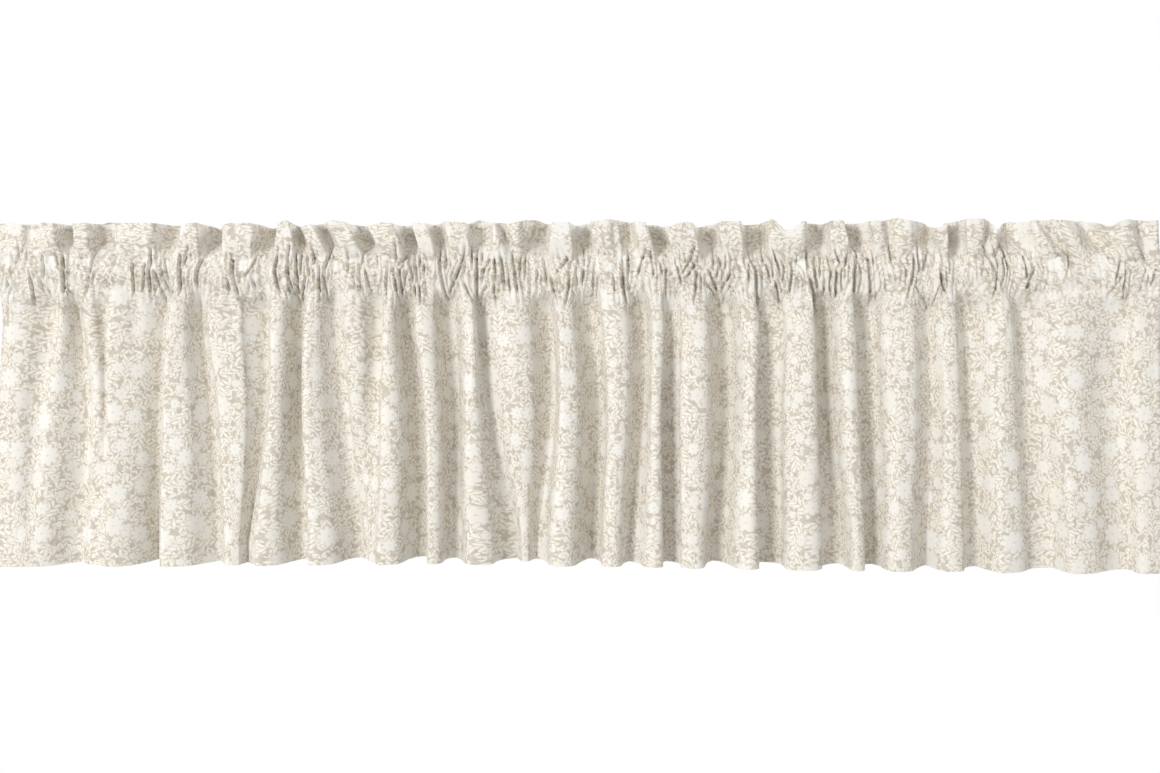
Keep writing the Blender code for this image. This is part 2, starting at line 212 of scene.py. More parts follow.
# Shares and flanks that change down the cloth, each at distances below the top edge: how deep
# the frill's folds and the skirt's are, how far the folds are the frill's own, how much of a
# fold its flanks take up, the steepest flank, how far down the skirt a place is, how far its
# ridges show, and how the top edge is rounded off. EDGE_STEEPNESS is the flank beside a side
# edge, whose frill is shallower by FRILL_EDGE_SHARE.
FRILL_DEPTH_SHARES = ((0.0, 1.46), (0.028, 1.36), (FRILL, 0.2))
SKIRT_DEPTH_SHARES = (
    (0.091, 0.1), (0.096, 0.26), (0.102, 0.5), (0.112, 0.76), (0.135, 0.92), (0.2, 1.0), (0.445, 1.14),
)
PLEATED_SHARES = ((0.03, 1.0), (0.072, 0.0))
FLANK_SHARES = ((0.03, 0.7), (0.072, 1.0))
STEEPEST_FLANKS = ((0.03, 1.4), (0.048, 0.7), (0.105, 0.7), (0.125, 1.4))
DOWN_SKIRT = ((0.115, 0.0), (0.415, 1.0))
RIDGE_SHARES = ((0.1, 0.0), (0.15, 1.0))
TOP_EDGE_ROUNDING = ((0.0, 0.35), (0.0015, 0.62), (0.005, 1.0))
EDGE_STEEPNESS = 0.55
FRILL_EDGE_SHARE = 0.4
DENT_SHARPNESS = 2.6

# Soft pressed ridges down the skirt: place at its top and foot, half width, how far forward
Ridge = namedtuple("Ridge", "top_x low_x half_width out")
RIDGES = [Ridge(*row) for row in (
    (-0.6, -0.603, 0.0022, 0.0018),
    (-0.527, -0.53, 0.0022, 0.0018),
    (-0.397, -0.403, 0.0022, 0.0012),
    (-0.349, -0.338, 0.0022, 0.0014),
    (-0.248, -0.252, 0.0022, 0.0012),
    (0.095, 0.098, 0.0022, 0.001),
    (0.223, 0.22, 0.0022, 0.002),
    (0.345, 0.35, 0.0022, 0.001),
    (0.408, 0.409, 0.0022, 0.0012),
    (0.473, 0.476, 0.0022, 0.0012),
    (0.541, 0.54, 0.0022, 0.0018),
    (0.622, 0.63, 0.0022, 0.0018),
    (0.712, 0.717, 0.0024, 0.0014),
)]

# The sharp furrows of the heading, listed roughly from left to right: upper end,
# lower end, how far the middle bows to the right, and how far back it goes
Furrow = namedtuple("Furrow", "top_x top_z low_x low_z bow depth")
FURROWS = [Furrow(*row) for row in (
    (-0.731, -0.079, -0.717, -0.09, 0.0, 0.003),
    (-0.725, -0.056, -0.724, -0.07, 0.001, 0.003),
    (-0.718, -0.041, -0.722, -0.065, 0.004, 0.0028),
    (-0.701, -0.066, -0.697, -0.083, 0.001, 0.0032),
    (-0.692, -0.063, -0.678, -0.088, -0.002, 0.0038),
    (-0.688, -0.053, -0.682, -0.073, 0.001, 0.0034),
    (-0.661, -0.083, -0.646, -0.091, 0.0, 0.003),
    (-0.659, -0.057, -0.658, -0.081, 0.001, 0.0046),
    (-0.619, -0.053, -0.631, -0.08, 0.001, 0.0032),
    (-0.606, -0.064, -0.599, -0.084, -0.003, 0.0042),
    (-0.594, -0.037, -0.601, -0.062, 0.003, 0.004),
    (-0.57, -0.061, -0.569, -0.081, 0.001, 0.0036),
    (-0.554, -0.061, -0.557, -0.081, 0.001, 0.0032),
    (-0.546, -0.055, -0.547, -0.079, -0.001, 0.0042),
    (-0.541, -0.068, -0.53, -0.091, 0.0, 0.0036),
    (-0.534, -0.061, -0.52, -0.087, -0.002, 0.0036),
    (-0.529, -0.055, -0.523, -0.078, -0.001, 0.0032),
    (-0.509, -0.061, -0.509, -0.084, 0.001, 0.0046),
    (-0.498, -0.048, -0.505, -0.067, 0.0, 0.0036),
    (-0.481, -0.058, -0.487, -0.083, -0.003, 0.004),
    (-0.451, -0.07, -0.446, -0.092, 0.001, 0.0036),
    (-0.442, -0.055, -0.431, -0.092, -0.003, 0.0046),
    (-0.41, -0.051, -0.424, -0.071, 0.002, 0.0034),
    (-0.418, -0.076, -0.405, -0.083, 0.0, 0.003),
    (-0.383, -0.048, -0.383, -0.079, -0.004, 0.0046),
    (-0.371, -0.086, -0.358, -0.108, 0.001, 0.004),
    (-0.368, -0.039, -0.367, -0.079, -0.004, 0.0046),
    (-0.362, -0.05, -0.359, -0.087, 0.001, 0.0042),
    (-0.355, -0.055, -0.355, -0.072, 0.0, 0.0032),
    (-0.349, -0.079, -0.354, -0.094, 0.0, 0.0038),
    (-0.347, -0.05, -0.343, -0.074, 0.0, 0.0046),
    (-0.339, -0.047, -0.337, -0.058, 0.0, 0.004),
    (-0.333, -0.086, -0.32, -0.099, 0.0, 0.0038),
    (-0.331, -0.067, -0.331, -0.083, 0.0, 0.0036),
    (-0.326, -0.074, -0.321, -0.091, 0.0, 0.0036),
    (-0.315, -0.044, -0.324, -0.064, 0.001, 0.0042),
    (-0.296, -0.04, -0.294, -0.069, 0.001, 0.003),
    (-0.287, -0.074, -0.285, -0.091, 0.0, 0.0044),
    (-0.281, -0.06, -0.28, -0.08, 0.001, 0.004),
    (-0.276, -0.06, -0.275, -0.085, -0.001, 0.0046),
    (-0.271, -0.068, -0.263, -0.091, -0.002, 0.0034),
    (-0.259, -0.045, -0.256, -0.064, 0.0, 0.0036),
    (-0.243, -0.063, -0.245, -0.091, -0.001, 0.0036),
    (-0.236, -0.068, -0.229, -0.09, 0.0, 0.0032),
    (-0.233, -0.033, -0.233, -0.053, 0.0, 0.0036),
    (-0.218, -0.049, -0.231, -0.063, 0.0, 0.004),
    (-0.228, -0.068, -0.226, -0.087, 0.0, 0.0046),
    (-0.217, -0.06, -0.207, -0.093, 0.001, 0.004),
    (-0.21, -0.055, -0.202, -0.086, 0.0, 0.0046),
    (-0.202, -0.047, -0.203, -0.06, 0.0, 0.0044),
    (-0.197, -0.062, -0.197, -0.076, 0.0, 0.0032),
    (-0.177, -0.054, -0.166, -0.093, -0.003, 0.0046),
    (-0.171, -0.039, -0.168, -0.058, 0.0, 0.0036),
    (-0.145, -0.053, -0.167, -0.079, 0.002, 0.0046),
    (-0.146, -0.082, -0.134, -0.095, 0.0, 0.0036),
    (-0.138, -0.037, -0.135, -0.066, 0.001, 0.0036),
    (-0.131, -0.04, -0.13, -0.092, 0.001, 0.0056),
    (-0.123, -0.052, -0.127, -0.069, 0.0, 0.0036),
    (-0.117, -0.085, -0.128, -0.107, 0.0, 0.004),
    (-0.113, -0.055, -0.122, -0.069, 0.001, 0.0036),
    (-0.107, -0.054, -0.106, -0.074, 0.0, 0.0042),
    (-0.108, -0.085, -0.103, -0.113, -0.001, 0.0032),
    (-0.098, -0.055, -0.094, -0.085, 0.0, 0.0054),
    (-0.084, -0.057, -0.076, -0.084, 0.0, 0.0044),
    (-0.073, -0.052, -0.074, -0.066, -0.001, 0.0032),
    (-0.068, -0.058, -0.068, -0.074, 0.0, 0.0032),
    (-0.05, -0.058, -0.053, -0.076, 0.001, 0.0028),
    (-0.044, -0.06, -0.041, -0.077, 0.0, 0.0044),
    (-0.034, -0.078, -0.025, -0.092, -0.001, 0.0044),
    (-0.028, -0.054, -0.02, -0.052, 0.0, 0.0036),
    (-0.013, -0.051, -0.026, -0.067, 0.001, 0.0036),
    (-0.011, -0.074, -0.017, -0.111, 0.001, 0.0044),
    (-0.002, -0.051, 0.004, -0.063, 0.0, 0.004),
    (0.007, -0.052, 0.006, -0.078, 0.001, 0.005),
    (0.02, -0.071, 0.019, -0.093, 0.0, 0.0034),
    (0.045, -0.074, 0.048, -0.09, 0.0, 0.0034),
    (0.056, -0.062, 0.061, -0.1, -0.001, 0.0054),
    (0.064, -0.049, 0.064, -0.069, 0.0, 0.0036),
    (0.088, -0.051, 0.077, -0.071, -0.001, 0.0032),
    (0.092, -0.051, 0.096, -0.076, 0.001, 0.0028),
    (0.103, -0.058, 0.107, -0.073, 0.001, 0.0032),
    (0.112, -0.067, 0.112, -0.087, 0.0, 0.0044),
    (0.126, -0.062, 0.132, -0.08, 0.0, 0.004),
    (0.149, -0.048, 0.134, -0.067, 0.001, 0.0046),
    (0.149, -0.061, 0.139, -0.075, 0.001, 0.004),
    (0.151, -0.07, 0.149, -0.088, 0.0, 0.0046),
    (0.164, -0.082, 0.184, -0.111, 0.001, 0.0042),
    (0.167, -0.066, 0.181, -0.089, 0.0, 0.005),
    (0.172, -0.042, 0.172, -0.068, 0.001, 0.0042),
    (0.178, -0.052, 0.184, -0.069, 0.0, 0.0036),
    (0.2, -0.063, 0.185, -0.083, 0.0, 0.0042),
    (0.186, -0.081, 0.212, -0.084, 0.0, 0.003),
    (0.216, -0.04, 0.224, -0.06, 0.0, 0.0042),
    (0.224, -0.058, 0.229, -0.087, 0.001, 0.0056),
    (0.219, -0.062, 0.217, -0.078, 0.0, 0.003),
    (0.236, -0.04, 0.236, -0.056, 0.0, 0.0036),
    (0.24, -0.06, 0.246, -0.08, 0.0, 0.004),
    (0.248, -0.046, 0.258, -0.074, 0.001, 0.0042),
    (0.252, -0.082, 0.258, -0.105, 0.0, 0.004),
    (0.261, -0.057, 0.262, -0.077, 0.001, 0.0032),
    (0.273, -0.055, 0.27, -0.087, 0.001, 0.0046),
    (0.279, -0.055, 0.276, -0.072, 0.0, 0.003),
    (0.29, -0.042, 0.294, -0.064, 0.0, 0.004),
    (0.296, -0.079, 0.305, -0.1, 0.001, 0.0054),
    (0.303, -0.055, 0.305, -0.079, -0.001, 0.005),
    (0.31, -0.06, 0.308, -0.076, 0.0, 0.003),
    (0.316, -0.076, 0.314, -0.093, 0.0, 0.004),
    (0.319, -0.052, 0.323, -0.076, 0.001, 0.0042),
    (0.329, -0.068, 0.328, -0.082, 0.001, 0.004),
    (0.328, -0.047, 0.337, -0.061, 0.0, 0.0036),
    (0.342, -0.055, 0.34, -0.074, 0.0, 0.0032),
    (0.349, -0.042, 0.36, -0.066, 0.002, 0.0036),
    (0.355, -0.06, 0.352, -0.082, 0.0, 0.0054),
    (0.371, -0.06, 0.375, -0.086, 0.0, 0.0054),
    (0.377, -0.047, 0.377, -0.061, 0.0, 0.0036),
    (0.397, -0.047, 0.404, -0.064, 0.0, 0.0042),
    (0.413, -0.057, 0.419, -0.076, 0.001, 0.0032),
    (0.429, -0.06, 0.42, -0.091, 0.002, 0.0046),
    (0.433, -0.046, 0.435, -0.068, 0.0, 0.0036),
    (0.429, -0.087, 0.458, -0.126, 0.003, 0.0036),
    (0.449, -0.048, 0.44, -0.067, 0.0, 0.0032),
    (0.462, -0.084, 0.453, -0.102, 0.0, 0.0032),
    (0.463, -0.07, 0.47, -0.084, -0.002, 0.0046),
    (0.472, -0.05, 0.474, -0.069, 0.002, 0.0032),
    (0.516, -0.042, 0.531, -0.066, 0.0, 0.0046),
    (0.522, -0.063, 0.525, -0.076, 0.0, 0.0032),
    (0.527, -0.021, 0.531, -0.047, 0.0, 0.004),
    (0.535, -0.06, 0.532, -0.089, 0.002, 0.0046),
    (0.535, -0.042, 0.549, -0.064, 0.002, 0.0046),
    (0.567, -0.05, 0.573, -0.076, 0.002, 0.0046),
    (0.579, -0.07, 0.574, -0.084, 0.0, 0.0044),
    (0.593, -0.055, 0.595, -0.07, 0.0, 0.0026),
    (0.604, -0.032, 0.622, -0.055, -0.002, 0.0034),
    (0.628, -0.06, 0.622, -0.077, 0.001, 0.0026),
    (0.675, -0.047, 0.681, -0.057, 0.0, 0.0034),
    (0.695, -0.06, 0.687, -0.077, 0.0, 0.0036),
    (0.695, -0.073, 0.68, -0.088, 0.0, 0.0034),
    (0.699, -0.065, 0.697, -0.088, 0.0, 0.0034),
    (0.707, -0.049, 0.714, -0.052, 0.0, 0.003),
    (0.717, -0.038, 0.736, -0.064, 0.001, 0.0034),
    (0.738, -0.064, 0.732, -0.08, 0.0, 0.004),
    (0.725, -0.063, 0.718, -0.08, 0.0, 0.0034),
)]

# Furrows that end near a seam run on past it, each by one of these lengths in turn. A furrow is
# full round its middle, and gone at a share of its length from there. Beside it stands a lip,
# and the lip's place and width are counted in half widths of the furrow.
FURROW_TAILS = (0.005, 0.014, 0.008, 0.022, 0.011, 0.017, 0.006, 0.012, 0.019, 0.009)
FURROW_UPPER_TAIL_SHARE = 0.6
NEAR_SEAM = 0.012
FURROW_FULL_TO = 0.40
FURROW_GONE_AT = 0.68
FURROW_LEAST_HALF_WIDTH = 0.0008
FURROW_WIDTH_SHARE = 0.18
FURROW_SHARPNESS = 1.5
FURROW_STRENGTH = 1.5
LIP_SHARE = 0.55
LIP_PLACE = 2.1
LIP_WIDTH = 0.9

# Layers of soft noise over the cloth: strength, size of a cell across and down, and seed. Their
# random grid has these rows and columns, of which one row is the top edge and one column is the
# middle of the cloth.
Noise = namedtuple("Noise", "strength across down seed")
NOISE_GRID = (64, 512)
NOISE_TOP_ROW = 8
NOISE_MIDDLE_COLUMN = 200

# Gathers between the furrows. Two sets lean to either side and take turns. They are weaker
# where no furrows crowd together, and to the right of CALM_FROM.
GATHER_RIGHT_PITCH = 0.008
GATHER_LEFT_PITCH = 0.010
GATHER_LEFT_START = 0.7
GATHER_LEAN = 2.4
GATHER_DEPTH = 0.009
GATHER_MIDDLE = 0.65
GATHER_SHARPNESS = 0.8
GATHER_FADE_UP = 0.010
GATHER_FADE_DOWN = 0.015
GATHER_WANDER = (Noise(3.0, 0.020, 0.026, 0), Noise(1.0, 0.008, 0.014, 1))
GATHER_EVEN_SHARE = 0.62
GATHER_UNEVENNESS = (Noise(0.38, 0.018, 0.030, 2),)
GATHER_SWELL = (Noise(0.0022, 0.026, 0.030, 3),)
GATHER_TURNS = (Noise(1.8, 0.015, 0.034, 4),)
FRONT_SEED = 11
BACK_SEED = 21
CROWD_REACH = 0.012
CROWD_FULL = 0.011
LONE_GATHER_SHARE = 0.45
CALM_FROM = 0.6
CALM_SHARE = 0.6

# The seams: height, how far forward the front stands there since it is drawn up less than the
# back, and seed of the noise by which the rows near it stray up and down
Seam = namedtuple("Seam", "height forward seed")
SEAMS = (Seam(UPPER_SEAM, 0.0112, 51), Seam(LOWER_SEAM, 0.013, 52))
SEAM_WANDER = (Noise(0.0046, 0.027, 1.0, 0), Noise(0.00207, 0.010, 1.0, 2))
SEAM_WANDER_FADE = 0.014
SEAM_FORWARD_FADE = 0.019
SEAM_GROOVE_DEPTH = 0.0005
SEAM_GROOVE_HALF_WIDTH = 0.0012

# How far the pocket swells, the height shares between which its hollow narrows to nothing, and
# the bulge from which its gathers are full
BAND_SWELL_OUT = 0.0056
HOLLOW_NARROWS = ((0.78, 1.0), (0.9, 0.0))
FULL_BULGE = 0.008

# Slow unevenness of the hanging skirt, and of the top edge
SKIRT_WAVER = (Noise(0.0011, 0.020, 0.110, 31), Noise(0.000385, 0.009, 0.060, 32))
WAVER_SHARES = ((0.091, 0.0), (0.14, 1.0))
TOP_EDGE_WAVER = (Noise(0.0009, 0.009, 1.0, 41),)

# Spacing of the mesh across the flat cloth, and heights of its rows. The heading and the top of
# the skirt have FINE times as many columns at the front as the rest has, and the back of the
# skirt has every second row.
SKIRT_SPACING = 0.0046
LEAST_STEPS = 4
PROBE_STEPS = 24
FINE = 3
FRILL_ROWS = (
    0.0, -0.0015, -0.005, -0.01, -0.0155, -0.021, -0.0265, -0.032, -0.037, -0.0415, -0.0455, -0.0485,
)
BAND_ROWS = tuple(-0.0525 - 0.0024 * step for step in range(16))
TOP_OF_SKIRT_ROWS = (
    -0.0925, -0.095, -0.098, -0.1015, -0.105, -0.109, -0.1135, -0.119, -0.126, -0.135, -0.145,
)
FINE_DOWN_TO = -0.116
LOW_SKIRT_STEPS = 20
HEM_TURN_HEIGHT = -0.4455

# The print's places on the flat cloth are measured at these heights of the skirt and the frill.
# The heading's own measure fades out down the pocket. The turned layer starts past the edge.
PRINT_HEIGHT = -0.25
FRILL_PRINT_HEIGHT = -0.02
HEADING_PRINT_SHARES = ((FRILL, 1.0), (FRILL + POCKET, 0.0))
TURNED_PRINT_SHIFT = 0.002

# Stitches: capsules with two rings of points
STITCH_PITCH = 0.003
STITCH_LENGTH = 0.0024
STITCH_RADIUS = 0.00028
STITCH_SIDES = 5
STITCH_LIFT_SHARE = 0.35
STITCH_RING_SHARE = 0.3
HEM_STITCH_HEIGHT = 0.0245

# Nodes of a material stand in rows, so that they can be read in the editor
NODES_IN_ROW = 20
NODE_WIDE = 200
NODE_TALL = 220

CLOTH_MAP = "cloth_flat"
FACE_SIDE = 0
REVERSE_SIDE = 1


def read_table(at, table):
    """Reads a table of pairs at a place, evenly between its rows and level past its ends."""
    return np.interp(at, *zip(*table))


def mixed(first, second, share):
    return first + (second - first) * share


def ease(part):
    """Goes smoothly from 0 to 1, and starts and ends level."""
    return part * part * (3 - 2 * part)


def bell(offset, width):
    """A soft hump from 1 in the middle to nothing well past the width."""
    return np.exp(-((offset / width) ** 2))


def unit(vectors):
    return vectors / np.linalg.norm(vectors, axis=1)[:, None]


def smooth_through(height, heights, values):
    """Reads a smooth curve that passes through values at heights (falling), level past the ends."""
    knots = -np.array(heights)
    values = np.array(values)
    slopes = np.gradient(values, knots)
    at = np.clip(-height, knots[0], knots[-1])
    left = int(np.clip(np.searchsorted(knots, at, side="right") - 1, 0, len(knots) - 2))
    span = knots[left + 1] - knots[left]
    part = (at - knots[left]) / span
    rise = ease(part)
    lean_out = part * (1 - part) ** 2 * span * slopes[left]
    lean_in = part * part * (part - 1) * span * slopes[left + 1]
    return values[left] * (1 - rise) + values[left + 1] * rise + lean_out + lean_in


def control_points(height):
    """The crests and floors across the cloth at one height.

    A row of the result holds x, y, how broad the floor is, and how steep the flank right of it is.
    """
    in_frill = height > UPPER_SEAM
    frill_share = read_table(-height, FRILL_DEPTH_SHARES)
    share = 1.0 if in_frill else read_table(-height, SKIRT_DEPTH_SHARES)
    edge_share = FRILL_EDGE_SHARE * frill_share if in_frill else share
    pleated = read_table(-height, PLEATED_SHARES)
    steepest = read_table(-height, STEEPEST_FLANKS)
    down_skirt = read_table(-height, DOWN_SKIRT)
    left_x = smooth_through(height, FOLD_HEIGHTS, LEFT_EDGE)
    right_x = smooth_through(height, FOLD_HEIGHTS, RIGHT_EDGE)
    points = [(left_x, -LEFT_EDGE_OUT * edge_share, 1.0, EDGE_STEEPNESS)]
    crest = (LEFT_CREASE, -LEFT_CREASE_OUT * edge_share)
    for fold, frill, following in zip(FOLDS, FRILL_FOLDS, FRILL_FOLDS[1:]):
        floor_places = (frill.edge_x, frill.seam_x, fold.top_x, fold.mid_x, fold.low_x)
        crest_edge = (frill.edge_x + following.edge_x) / 2
        crest_seam = (frill.seam_x + following.seam_x) / 2
        crest_places = (crest_edge, crest_seam, fold.crest_top, fold.crest_mid, fold.crest_low)
        if in_frill:
            floor_y = frill.deep * frill_share
            crest_y = -FRILL_CREST_OUT * frill_share
        else:
            depths = (fold.top_in, fold.mid_in, fold.low_in)
            floor_y = smooth_through(height, FOLD_HEIGHTS[2:], depths) * share
            crest_y = -mixed(fold.out_top, fold.out_low, down_skirt) * share
        left_steep = min(steepest, mixed(fold.left_flank, frill.left_flank, pleated))
        right_steep = min(steepest, mixed(fold.right_flank, frill.right_flank, pleated))
        floor_wide = mixed(fold.floor_wide, frill.wide, pleated)
        floor_x = smooth_through(height, FOLD_HEIGHTS, floor_places)
        points.append((*crest, 1.0, left_steep))
        points.append((floor_x, floor_y, floor_wide, right_steep))
        crest = (smooth_through(height, FOLD_HEIGHTS, crest_places), crest_y)
    points.append((*crest, 1.0, EDGE_STEEPNESS))
    points.append((right_x, -RIGHT_EDGE_OUT * edge_share, 1.0, EDGE_STEEPNESS))
    return np.array(points)


# Places across the cloth: the control point left of each, and the part of the way to the next
Columns = namedtuple("Columns", "segment part")


def make_columns(steps_each):
    segment = np.repeat(np.arange(len(steps_each)), steps_each)
    part = np.concatenate([np.arange(steps) / steps for steps in steps_each])
    return Columns(np.append(segment, len(steps_each) - 1), np.append(part, 1.0))


def main_line(height, columns):
    """The middle of the sheet at one height on the main folds: x and y at every column."""
    points = control_points(height)
    start = points[columns.segment]
    end = points[columns.segment + 1]
    part = columns.part
    from_floor = part ** start[:, 2]
    to_floor = 1 - (1 - part) ** end[:, 2]
    eased = np.where(start[:, 1] > end[:, 1], from_floor, to_floor)
    eased = np.clip((eased - 0.5) / read_table(-height, FLANK_SHARES) + 0.5, 0, 1)
    swing = (1 - np.cos(np.pi * eased)) / 2
    along = part + start[:, 3] * np.sin(2 * np.pi * part) / (2 * np.pi)
    x = mixed(start[:, 0], end[:, 0], along)
    y = mixed(start[:, 1], end[:, 1], swing)
    for dent in DENTS:
        centre = dent.x + dent.lean * (dent.z - height)
        across = np.abs(x - centre) / dent.half_width
        y = y + dent.depth * np.exp(-(across**DENT_SHARPNESS)) * bell(height - dent.z, dent.half_height)
    return np.column_stack((x, y))


def lengths_along(line):
    steps = np.linalg.norm(np.diff(line, axis=0), axis=1)
    return np.concatenate(([0.0], np.cumsum(steps)))


def outward(line):
    """Unit directions at right angles to a line across the cloth, pointing back."""
    along = unit(np.gradient(line, axis=0))
    return np.column_stack((-along[:, 1], along[:, 0]))


def soft_noise(across, down, seed):
    """Smooth random values from -1 to 1, the same for the same seed, with cells of size 1."""
    grid = np.random.default_rng(seed).uniform(-1, 1, NOISE_GRID)
    column = across + NOISE_MIDDLE_COLUMN
    row = down + NOISE_TOP_ROW
    left = np.floor(column).astype(int)
    top = np.floor(row).astype(int)
    share = ease(column - left)
    upper = mixed(grid[top, left], grid[top, left + 1], share)
    lower = mixed(grid[top + 1, left], grid[top + 1, left + 1], share)
    return mixed(upper, lower, ease(row - top))


def layered(layers, across, height, seed=0):
    """The sum of layers of noise over the cloth."""
    total = 0.0
    for layer in layers:
        values = soft_noise(across / layer.across, -height / layer.down, seed + layer.seed)
        total = total + layer.strength * values
    return total


def gather_share(height):
    """How strong the rod's gathers are at a height: full in the pocket, fading up and down."""
    if height > UPPER_SEAM:
        return math.exp((UPPER_SEAM - height) / GATHER_FADE_UP)
    if height < LOWER_SEAM:
        return math.exp((height - LOWER_SEAM) / GATHER_FADE_DOWN)
    return 1.0


def crowding(x):
    """From 0 where the heading is calm to 1 where its furrows stand close together."""
    crowd = np.zeros_like(x)
    for furrow in FURROWS:
        crowd += furrow.depth * bell(x - (furrow.top_x + furrow.low_x) / 2, CROWD_REACH)
    return np.clip(crowd / CROWD_FULL, 0, 1)


def ridged(phase):
    """Rounded ridges with sharp furrows between, from 0 to 1."""
    return np.abs(np.sin(phase)) ** GATHER_SHARPNESS


def gathers(x, height, seed):
    """How far the gathers push the cloth forward, at every column of a row."""
    wander = layered(GATHER_WANDER, x, height, seed)
    lean = -GATHER_LEAN * height / POCKET
    leaning_right = ridged(np.pi * x / GATHER_RIGHT_PITCH + wander - lean)
    leaning_left = ridged(np.pi * x / GATHER_LEFT_PITCH - wander + lean + GATHER_LEFT_START)
    right_share = np.clip(0.5 + layered(GATHER_TURNS, x, height, seed), 0, 1)
    ridge = mixed(leaning_left, leaning_right, right_share)
    strength = GATHER_EVEN_SHARE + layered(GATHER_UNEVENNESS, x, height, seed)
    strength *= mixed(LONE_GATHER_SHARE, 1.0, crowding(x))
    strength *= np.where(x > CALM_FROM, CALM_SHARE, 1.0)
    swell = layered(GATHER_SWELL, x, height, seed)
    return gather_share(height) * (GATHER_DEPTH * strength * (ridge - GATHER_MIDDLE) + swell)


def furrows(x, height):
    """How far back the sharp furrows go, at every column of a row, with the lips beside them."""
    back = np.zeros_like(x)
    for place, furrow in enumerate(FURROWS):
        tail = FURROW_TAILS[place % len(FURROW_TAILS)]
        upper_tail = FURROW_UPPER_TAIL_SHARE * tail
        top_z = furrow.top_z + (upper_tail if abs(furrow.top_z - UPPER_SEAM) < NEAR_SEAM else 0)
        low_z = furrow.low_z - (tail if abs(furrow.low_z - LOWER_SEAM) < NEAR_SEAM else 0)
        tall = top_z - low_z
        part = (top_z - height) / tall
        inside = min(1.0, (FURROW_GONE_AT - abs(part - 0.5)) / (FURROW_GONE_AT - FURROW_FULL_TO))
        if inside <= 0:
            continue
        taper = ease(inside)
        centre = mixed(furrow.top_x, furrow.low_x, part) + furrow.bow * 4 * part * (1 - part)
        slant = math.hypot(1.0, (furrow.low_x - furrow.top_x) / tall)
        half_width = (FURROW_LEAST_HALF_WIDTH + FURROW_WIDTH_SHARE * furrow.depth) * slant
        off = np.abs(x - centre) / half_width
        trough = np.exp(-(off**FURROW_SHARPNESS))
        back += furrow.depth * taper * (trough - LIP_SHARE * bell(off - LIP_PLACE, LIP_WIDTH))
    return FURROW_STRENGTH * back


def nearest_seam(height):
    return min(SEAMS, key=lambda seam: abs(height - seam.height))


def ridges_out(x, height):
    """How far the pressed ridges stand forward in a row of the skirt."""
    down_skirt = read_table(-height, DOWN_SKIRT)
    out = np.zeros_like(x)
    for ridge in RIDGES:
        out += ridge.out * bell(x - mixed(ridge.top_x, ridge.low_x, down_skirt), ridge.half_width)
    return out * read_table(-height, RIDGE_SHARES)


def real_heights(height, line):
    """The true heights of a row, which follow the top edge, the seams and the hem."""
    x = line[:, 0]
    heights = np.full_like(x, height)
    for seam in SEAMS:
        near = bell(height - seam.height, SEAM_WANDER_FADE)
        heights += near * layered(SEAM_WANDER, x, 0.0, seam.seed)
    if height > UPPER_SEAM:
        top_edge = read_table(x, EDGE_LEVELS) + layered(TOP_EDGE_WAVER, x, 0.0)
        for dip in EDGE_DIPS:
            top_edge -= dip.down * bell(x - dip.x, dip.half_width)
        heights += (1 - height / UPPER_SEAM) ** 2 * top_edge
    if height < HEM_FELT_FROM:
        hem = read_table(x, HEM_LEVELS) + HEM_SWING * line[:, 1]
        heights += (height - HEM_FELT_FROM) / (-DROP - HEM_FELT_FROM) * (hem + DROP)
    return heights


def thickness(height):
    if height < LOWER_SEAM:
        return HEM_THICK if height < HEM_DEEP - DROP else SKIRT_THICK
    groove = SEAM_GROOVE_DEPTH * bell(height - nearest_seam(height).height, SEAM_GROOVE_HALF_WIDTH)
    return (FRILL_THICK - groove) * read_table(-height, TOP_EDGE_ROUNDING)


def sheet_row(height, columns, flat_x):
    """Front and back points of one row of the frill or the skirt."""
    line = main_line(height, columns)
    heights = real_heights(height, line)
    x = line[:, 0].copy()
    seam = nearest_seam(height)
    forward = seam.forward * bell(height - seam.height, SEAM_FORWARD_FADE)
    line[:, 1] -= forward + gathers(x, height, FRONT_SEED) - furrows(x, height)
    if height < LOWER_SEAM:
        waver = layered(SKIRT_WAVER, flat_x, height) * read_table(-height, WAVER_SHARES)
        line = line - outward(line) * (ridges_out(x, height) + waver)[:, None]
    half = outward(line) * thickness(height) / 2
    return [np.column_stack((line + side * half, heights)) for side in (-1, 1)]


def band_row(height, columns):
    """Outer front and outer back points of one row of the pocket."""
    line = main_line(height, columns)
    x = line[:, 0]
    off_middle = abs(height - (UPPER_SEAM + LOWER_SEAM) / 2) / (POCKET / 2)
    front_bulge = mixed(POCKET_HALF_DEPTH, nearest_seam(height).forward, off_middle**3)
    back_bulge = POCKET_HALF_DEPTH * math.sqrt(1 - off_middle**5)
    hollow = HOLLOW_HALF_DEPTH * read_table(off_middle, HOLLOW_NARROWS)
    least = hollow + LEAST_WALL_DEPTH - HOLLOW_HALF_DEPTH
    swell_out = BAND_SWELL_OUT * (1 - off_middle**2) ** 2
    front_forward = gathers(x, height, FRONT_SEED) - furrows(x, height)
    back_forward = gathers(x, height, BACK_SEED)
    sides = []
    for side, bulge, forward in ((-1, front_bulge, front_forward), (1, back_bulge, back_forward)):
        depth = bulge + POCKET_WALL_THICK / 2 + (forward + swell_out) * min(1.0, bulge / FULL_BULGE)
        y = line[:, 1] + side * np.maximum(depth, least)
        sides.append(np.column_stack((x, y, real_heights(height, line))))
    return sides


